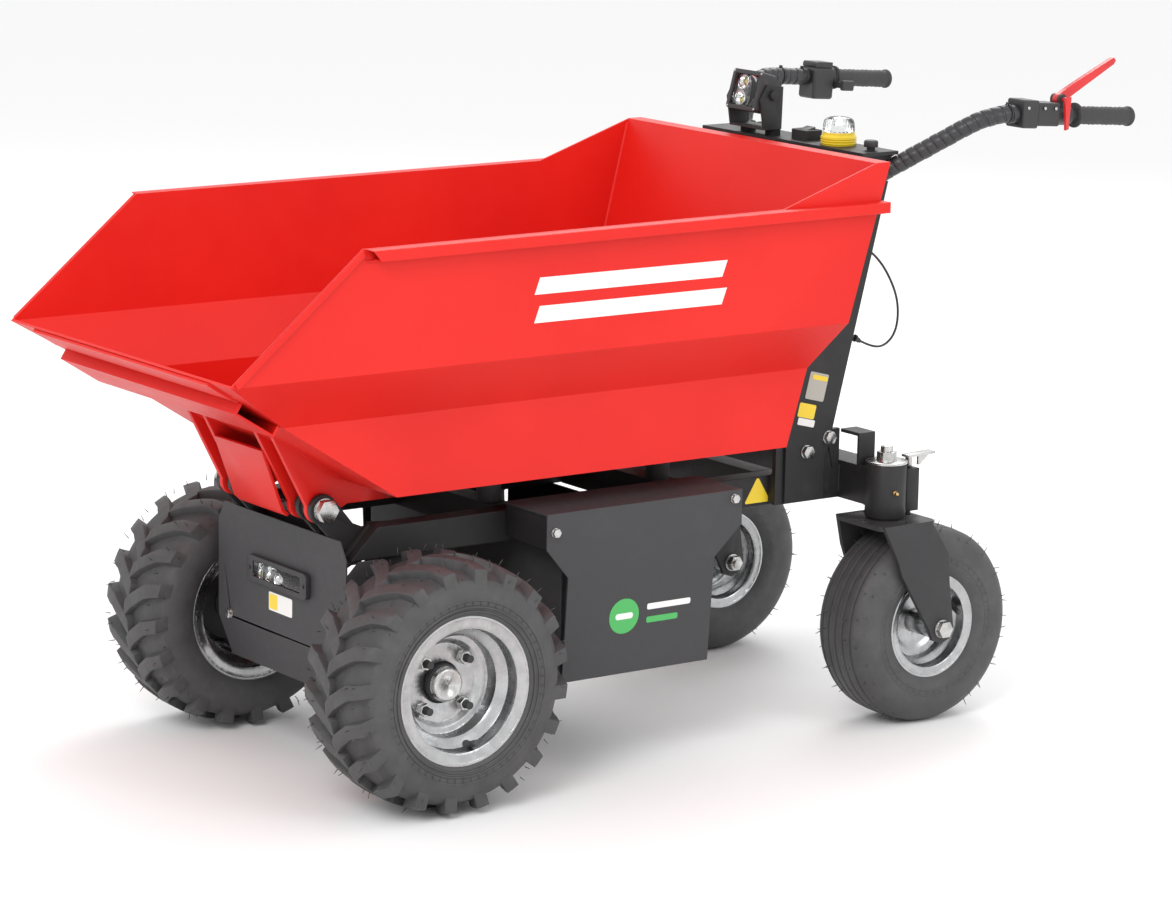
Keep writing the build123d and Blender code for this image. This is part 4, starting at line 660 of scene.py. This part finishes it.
# ---------------------------------------------------------------- wheels
# Rings on the sidewall: (distance out of the wheel's middle, radius, height)
# Bars: (how many, distance out, radius, size)
# Vent hairs: (how many, distance out, radius, lean out and away from the axle)
FRONT_MARKS = {
    "ridges": [(0.0860, 0.1435, 0.0008), (0.0853, 0.1330, 0.0008), (0.0838, 0.1260, 0.0010)],
    "bars": (60, 0.0861, 0.1385, (0.0012, 0.0055, 0.0012)),
    "hairs": [(14, 0.0795, 0.176, (0.5, 1)), (26, 0.0640, 0.1935, (0.15, 1)), (20, 0.0500, 0.1975, (0.1, 1)),
              (26, -0.0640, 0.1935, (-0.15, 1)), (20, -0.0400, 0.1985, (-0.1, 1)),
              (14, -0.0795, 0.176, (-0.5, 1))],
}
CASTOR_MARKS = {
    "ridges": [(0.0614, 0.1180, 0.0008), (0.0612, 0.1090, 0.0008)],
    "bars": (48, 0.0616, 0.1135, (0.0012, 0.0045, 0.0012)),
    "hairs": [(24, 0.0560, 0.1480, (0.5, 1)), (20, 0.0480, 0.1600, (0.25, 1)), (18, 0.0270, 0.1650, (0, 1)),
              (18, -0.0270, 0.1650, (0, 1)), (24, -0.0560, 0.1480, (-0.5, 1)),
              (20, -0.0480, 0.1600, (-0.25, 1))],
}
HAIR_SHORT, HAIR_LONG = 0.008, 0.012
NO_HAIR_BELOW = -0.9
FRONT_SEED, CASTOR_SEED = 11, 23
VALVE = [(-0.004, 0.0075), (0.002, 0.0072), (0.006, 0.0048), (0.022, 0.0040), (0.022, 0.0048),
         (0.033, 0.0046), (0.0345, 0.0036)]
HUB_CAP = [(0.0212, 0.0271), (0.0212, 0.0281), (0.0226, 0.0281), (0.0232, 0.0274), (0.0272, 0.0274),
           (0.0300, 0.0262), (0.0318, 0.0243), (0.0324, 0.0215), (0.0316, 0.0200), (0.0316, 0.0002),
           (0.0311, 0.0002), (0.0311, 0.0240), (0.0271, 0.0271)]


def tyre_detail(name, body, place, out, marks, seed):
    """Raised rings, short moulded bars and vent hairs on a tyre."""
    build = Build()
    for along, radius, height in marks["ridges"]:
        low, high = along - height, along + height
        profile = [(low, radius - 0.0022), (high, radius - 0.0009), (high, radius + 0.0009),
                   (low, radius + 0.0022)]
        build.turned(place, out, profile, 120, True)
    count, along, radius, size = marks["bars"]
    side = out.orthogonal().normalized()
    other = out.cross(side)
    for k in range(count):
        a = 2 * pi * k / count
        radial = cos(a) * side + sin(a) * other
        build.block(place + out * along + radial * radius, out.cross(radial), radial, out, size, 0.0003)
    rng = random.Random(seed)
    for count, along, radius, (sideways, away) in marks["hairs"]:
        for k in range(count):
            a = 2 * pi * (k + rng.uniform(-0.3, 0.3)) / count
            radial = cos(a) * side + sin(a) * other
            if radial.z < NO_HAIR_BELOW:
                continue
            root = place + out * along + radial * radius
            lean = out * sideways + radial * away + out.cross(radial) * rng.uniform(-0.5, 0.5)
            tall = rng.uniform(HAIR_SHORT, HAIR_LONG)
            hair = [(-0.001, 0.0008), (tall * 0.6, 0.0006), (tall, 0.0003)]
            build.turned(root, lean.normalized(), hair, 6)
    build.done(name, "tyre", body, "tyre")


def valve(name, body, place, out, radial):
    """Rubber snap-in valve with its cap, leaning out of the rim."""
    lean = (out + radial * 0.35).normalized()
    stem = Build()
    stem.turned(place, lean, VALVE, 24)
    stem.done(name, "tyre", body, "tyre")


def make_wheels():
    for side, k in SIDES:
        out = X * k
        body, centre = f"front_wheel_{side}", on_side(k, FRONT_HUB)
        tyre_detail(f"front_tyre_marks_{side}", body, centre, out, FRONT_MARKS, FRONT_SEED + k)
        valve(f"front_valve_{side}", body, centre + out * 0.052 + Vector((0, 0.020, -0.0925)), out,
              Vector((0, -0.2, 0.97)))
        body, hub = f"castor_wheel_{side}", on_side(k, CASTOR_HUB)
        tyre_detail(f"castor_tyre_marks_{side}", body, hub, out, CASTOR_MARKS, CASTOR_SEED + k)
        valve(f"castor_valve_{side}", body, hub + out * 0.030 + Vector((0.0, 0.060, 0.022)), out,
              Vector((0, -0.9, -0.35)))
        cap = Build()
        cap.turned(centre, out, HUB_CAP, 72, True)
        cap.done(f"hub_cap_{side}", "zinc", f"front_wheel_{side}", "zinc")


# ---------------------------------------------------------------- lamps and beacon
def led_row(cups, chips, places, forward, radius, depth):
    """A reflector cup and a square chip at each place."""
    profile = [(-depth, radius * 0.35), (-depth * 0.7, radius * 0.6), (-depth * 0.3, radius * 0.88),
               (0, radius), (0, radius * 1.1), (-depth * 0.4, radius * 0.98), (-depth, radius * 0.5)]
    for place in places:
        cups.turned(place, forward, profile, 28, True)
        side = forward.orthogonal().normalized()
        chips.block(place - forward * depth * 0.85, side, forward.cross(side), forward,
                    (radius * 0.62, radius * 0.62, depth * 0.3), radius * 0.05)


FRONT_LAMP_Y, FRONT_LAMP_Z = -0.593, 0.314
LED_PITCH = 0.022


def lamp_pieces(name, body, cups, chips, plate, lens):
    """Finishes a lamp's inside, which stands in for its plain CAD lens."""
    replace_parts(cups.done(f"{name}_cups", "reflector", body, "lamp_lens"), f"{name}_lens")
    chips.done(f"{name}_leds", "phosphor", body, "lamp_lens", smooth=False)
    plate.done(f"{name}_plate", "silver_plastic", body, "lamp_body")
    lens.done(f"{name}_window", "lamp_lens", body, "lamp_lens")


def make_front_lamp():
    y, z = FRONT_LAMP_Y, FRONT_LAMP_Z
    cups, chips, plate, lens = Build(), Build(), Build(), Build()
    places = [Vector(((i - 2.5) * LED_PITCH, y + 0.002, z + 0.0065 * j)) for i in range(6) for j in (-1, 1)]
    led_row(cups, chips, places, -Y, 0.0060, 0.009)
    plate.block((0, y + 0.0115, z), X, Z, Y, (0.140, 0.0255, 0.0015), 0.0003)
    lens.block((0, y - 0.0062, z), X, Z, Y, (0.1415, 0.0255, 0.0035), 0.0008)
    lamp_pieces("front_lamp", "chassis", cups, chips, plate, lens)


LIGHT_AT = Vector((-0.084, 0.400, 1.020))
LIGHT_LEAN = radians(-15)
SCREW = [(-0.001, 0.0022), (0.0006, 0.0022), (0.0010, 0.0014)]


def make_work_light():
    turn = Matrix.Rotation(LIGHT_LEAN, 3, "X")
    forward, up = turn @ -Y, turn @ Z

    def at(x, out, z):
        return LIGHT_AT + X * x + forward * out + up * z

    cups, chips, plate, lens = Build(), Build(), Build(), Build()
    places = [at(0.0155 * i, 0.0175, 0.0125 * j) for i in (-1, 1) for j in (-1, 1)]
    led_row(cups, chips, places, forward, 0.0112, 0.011)
    plate.block(at(0, 0.0052, 0), X, up, forward, (0.065, 0.053, 0.0016), 0.0004)
    lens.block(at(0, 0.0218, 0), X, up, forward, (0.0655, 0.0535, 0.003), 0.0006)
    lamp_pieces("work_light", "lamp", cups, chips, plate, lens)
    screws = Build()
    for i in (-1, 1):
        for j in (-1, 1):
            screws.turned(at(0.0365 * i, 0.0258, 0.0305 * j), forward, SCREW, 16)
    screws.done("work_light_screws", "zinc", "lamp", "zinc")


BEACON = Vector((0.105, 0.430, 0.973))
DOME_PROFILE = [(0, 0.0272), (0.004, 0.0270), (0.010, 0.0266), (0.015, 0.0260), (0.0185, 0.0248),
                (0.0215, 0.0220), (0.0240, 0.0160), (0.0252, 0.0080), (0.0255, 0.0010)]
DOME_POINTS, DOME_RIB = 144, 0.0010
BEACON_INSIDE = [(0.0004, 0.018), (0.002, 0.018), (0.0035, 0.013), (0.012, 0.0085), (0.019, 0.006),
                 (0.0195, 0.001)]
BASE_RIB = [(-0.0010, 0.0290), (-0.0006, 0.0304), (0.0006, 0.0304), (0.0010, 0.0290)]


def make_beacon():
    """Clear ribbed dome over its reflector, and ribs round the base."""
    place, n = BEACON, DOME_POINTS
    rings = []
    for along, radius in DOME_PROFILE:
        ring = []
        for k in range(n):
            a = 2 * pi * k / n
            rib = DOME_RIB * abs(sin(12 * a)) if 0.002 < along < 0.0215 else 0
            ring.append(place + Z * along + (X * cos(a) + Y * sin(a)) * max(0.0004, radius - rib))
        rings.append(ring)
    dome = Build()
    dome.ring_skin(rings)
    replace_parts(dome.done("beacon_cover", "beacon_clear", "chassis", "beacon_clear"), "beacon_dome")
    inside = Build()
    inside.turned(place, Z, BEACON_INSIDE, 40)
    inside.done("beacon_reflector", "reflector", "chassis", "lamp_lens")
    ribs = Build()
    for level in (0.9545, 0.9585, 0.9625):
        ribs.turned((place.x, place.y, level), Z, BASE_RIB, 64, True)
    ribs.done("beacon_base_ribs", "beacon_yellow", "chassis", "beacon_yellow")


# ---------------------------------------------------------------- welds, stickers and small fittings
# The skip's back wall, inside: its foot and its top edge as (y, z)
WALL_FOOT, WALL_TOP = (0.207, 0.486), (0.321, 0.954)
WALL_SEAM = ((0.2635, 0.492), (0.2635, 0.616), (0.3355, 0.699), (0.3355, 0.948))  # (x, z)
LUG_FACES = ((0.072, -1), (0.082, 1), (0.122, -1), (0.132, 1))
BARREL_WELD_R = 0.0345
RAIL_TOP = 0.4205


def wall_y(z):
    """Inner face of the skip's back wall at the height z."""
    slope = (WALL_TOP[0] - WALL_FOOT[0]) / (WALL_TOP[1] - WALL_FOOT[1])
    return WALL_FOOT[0] + (z - WALL_FOOT[1]) * slope - 0.0045


def make_skip_welds():
    red = Build()
    for k in (1, -1):
        weld(red, [(k * x, wall_y(z), z) for x, z in WALL_SEAM], (-k, -1, 0.2))
        weld(red, [(k * 0.3402, -0.655, 0.8675), (k * 0.3402, 0.325, 0.873)], (k, 0, -1), 0.0022)
        for x, outward in LUG_FACES:
            line = [(k * x, -0.684, 0.5700), (k * x, -0.556, 0.4895)]
            weld(red, line, (outward * k, -0.3, -0.8), 0.0026)
    weld(red, [(-0.260, wall_y(0.4905), 0.4905), (0.260, wall_y(0.4905), 0.4905)], (0, -1, 1))
    weld(red, [(-0.266, -0.829, 0.6610), (0.266, -0.829, 0.6610)], (0, -0.7, -1), 0.0024)
    weld(red, [(-0.266, -0.7575, 0.6160), (0.266, -0.7575, 0.6160)], (0, 0.7, -1), 0.0024)
    red.done("skip_welds", "tub_paint", "tub", "tub_paint")


def make_frame_welds():
    dark, top = Build(), RAIL_TOP
    turns = [radians(-58 + 8 * i) for i in range(15)]
    for k in (1, -1):
        x, y, r = k * KINGPIN_X, KINGPIN_Y, BARREL_WELD_R
        for z, upward in ((0.372, -1), (0.435, 1)):
            arc = [(x - k * cos(a) * r, y + sin(a) * r, z) for a in turns]
            weld(dark, arc, (-k * 0.5, 0, upward), 0.0026)
        weld(dark, [(k * 0.1815, 0.244, top), (k * 0.1815, 0.276, top)], (k * 0.4, 0, 1), 0.0024)
        for y in (-0.287, 0.049):
            weld(dark, [(k * 0.1805, y, top), (k * 0.1805, y + 0.040, top)], (k, 0, 1), 0.0024)
            weld(dark, [(k * 0.1425, y, top), (k * 0.1425, y + 0.040, top)], (-k, 0, 1), 0.0024)
        weld(dark, [(k * 0.1435, -0.525, top), (k * 0.1435, -0.458, 0.4145)], (0, 0, 1), 0.0026)
        weld(dark, [(k * 0.1990, 0.376, 0.430), (k * 0.1990, 0.376, 0.380)], (k * 0.5, -1, 0), 0.0026)
    dark.done("frame_welds", "frame_paint", "chassis", "frame_paint")


STICKER_FACES = (-0.0002, 0.00035)


def sticker(name, look, place, u, v, outline, slot, body="chassis"):
    """Thin patch with the given outline in the plane of u and v."""
    u, v = Vector(u).normalized(), Vector(v).normalized()
    lift = u.cross(v).normalized()
    rings = [[Vector(place) + u * s + v * t + lift * h for s, t in outline] for h in STICKER_FACES]
    build = Build()
    build.ring_skin(rings)
    return build.done(name, look, body, slot, smooth=False)


def rounded(w, h, r, n=6):
    """Rounded rectangle centred on the origin."""
    points = []
    right, top = w / 2 - r, h / 2 - r
    left, low = -w / 2 + r, -h / 2 + r
    for cx, cy, start in ((right, top, 0), (left, top, 90), (left, low, 180), (right, low, 270)):
        for i in range(n + 1):
            a = radians(start + 90 * i / n)
            points.append((cx + r * cos(a), cy + r * sin(a)))
    return points


SIDE_BADGE = Vector((0.2942, -0.135, 0.252))
SIDE_UP = Vector((0.013, 0, 0.173)).normalized()
COLUMN_UP = Vector((0, 0.2539, 1)).normalized()
COLUMN_PLATES = (  # name, look, place, width, height, corner radius
    ("column_plate_grey", "grey_print", (0.2051, 0.318, 0.566), 0.040, 0.046, 0.003),
    ("column_plate_bar", "yellow_print", (0.2055, 0.324, 0.580), 0.032, 0.008, 0.002),
    ("column_plate_yellow", "yellow_print", (0.2051, 0.298, 0.527), 0.036, 0.024, 0.003),
    ("column_plate_white", "white_print", (0.2051, 0.297, 0.5075), 0.036, 0.012, 0.002),
)
TRIANGLE = [(-0.024, -0.019), (0.024, -0.019), (0.0255, -0.016), (0.0022, 0.022), (-0.0022, 0.022),
            (-0.0255, -0.016)]
STRIPE = [(-0.185, -0.013), (0.175, -0.013), (0.185, 0.013), (-0.175, 0.013)]
STRIPE_X, STRIPE_Y, STRIPE_LEVELS = 0.3401, -0.165, (0.806, 0.762)


def make_stickers():
    up, panel = SIDE_UP, SIDE_BADGE
    sticker("cover_badge_green", "green_print", panel, Y, up, rounded(0.058, 0.058, 0.0285, 10),
            "cover_paint")
    sticker("cover_badge_white", "white_print", panel + Vector((0.0005, 0, 0)), Y, up,
            rounded(0.034, 0.010, 0.0045), "cover_paint")
    for i, (width, look) in enumerate(((0.086, "white_print"), (0.062, "green_print"))):
        place = panel + Vector((0, 0.045 + width / 2, 0)) + up * (0.010 - 0.022 * i)
        sticker(f"cover_bar_{i}", look, place, Y, up, rounded(width, 0.010, 0.003), "cover_paint")
    across = -COLUMN_UP.cross(X)
    for name, look, place, *shape in COLUMN_PLATES:
        sticker(name, look, place, across, COLUMN_UP, rounded(*shape), "frame_paint")
    sticker("rail_triangle", "yellow_print", (0.1801, 0.218, 0.395), Y, Z, TRIANGLE, "frame_paint")
    sticker("cover_front_white", "white_print", (0.0, -0.5931, 0.268), X, Z,
            rounded(0.070, 0.030, 0.003), "cover_paint")
    sticker("cover_front_yellow", "yellow_print", (-0.021, -0.5935, 0.268), X, Z,
            rounded(0.024, 0.024, 0.002), "cover_paint")
    for level in STRIPE_LEVELS:
        for side, k in SIDES:
            outline = STRIPE if k == 1 else [(-s, t) for s, t in STRIPE][::-1]
            sticker(f"skip_side_stripe_{side}_{level * 1000:.0f}", "white_print",
                    (k * STRIPE_X, STRIPE_Y, level), Y * k, Z, outline, "tub_paint", "tub")


# (along, radius)
NIPPLE = [(0, 0.0042), (0.004, 0.0042), (0.0045, 0.0026), (0.0085, 0.0024), (0.0090, 0.0032),
          (0.0110, 0.0032), (0.0125, 0.0016)]
GLAND = [(-0.001, 0.0095), (0.003, 0.0095), (0.003, 0.0082), (0.009, 0.0078), (0.011, 0.0060),
         (0.011, 0.0034), (-0.001, 0.0034)]
POD_SCREW = [(-0.002, 0.0028), (0.0004, 0.0028), (0.0009, 0.0018)]
THREAD_TOP, THREAD_TURNS = 0.462, 9
ROCKER = Vector((0.020, 0.430, 0.9672))


def make_castor_fittings():
    metal = Build()
    for k in (1, -1):
        place = Vector((k * KINGPIN_X, KINGPIN_Y, 0.398))
        out = Vector((k, -0.25, 0)).normalized()
        metal.turned(place + out * 0.0335, out, NIPPLE, 12)
    metal.done("grease_nipples", "brass", "chassis", "zinc")
    profile = [(0, 0.0098)]
    for i in range(THREAD_TURNS):
        profile += [(0.0006 + i * 0.001, 0.0104), (0.0011 + i * 0.001, 0.0099)]
    for side, k in SIDES:
        threads = Build()
        threads.turned((k * KINGPIN_X, KINGPIN_Y, THREAD_TOP - 0.0005), Z, [*profile, (0.0102, 0.0085)], 32)
        threads.done(f"kingpin_thread_{side}", "zinc", f"castor_{side}", "zinc")


def make_console_fittings():
    glands = Build()
    for x in (-0.160, -0.135):
        glands.turned((x, 0.452, 0.951), Z, GLAND, 6, True)
    glands.done("console_glands", "pod_plastic", "chassis", "pod_plastic")
    rim = Build()
    for k in (1, -1):
        rim.block(ROCKER + Y * (k * 0.0155), X, Y, Z, (0.040, 0.0012, 0.0012), 0.0003)
    for k in (1, -1):
        rim.block(ROCKER + X * (k * 0.0202), X, Y, Z, (0.0012, 0.030, 0.0012), 0.0003)
    rim.done("rocker_frame", "grey_plastic", "chassis", "pod_plastic")
    pod = Build()
    for y in (0.640, 0.676, 0.700):
        pod.turned(bar_at(y) + X * 0.0225 + Z * 0.012, X, POD_SCREW, 14)
    pod.done("pod_screws", "zinc", "chassis", "zinc")


make_camera()
LOOKS = make_materials()
make_cable()
make_studio()
make_floor()
dress_frame()
make_bars()
make_wheels()
make_front_lamp()
make_work_light()
make_beacon()
make_skip_welds()
make_frame_welds()
make_stickers()
make_castor_fittings()
make_console_fittings()
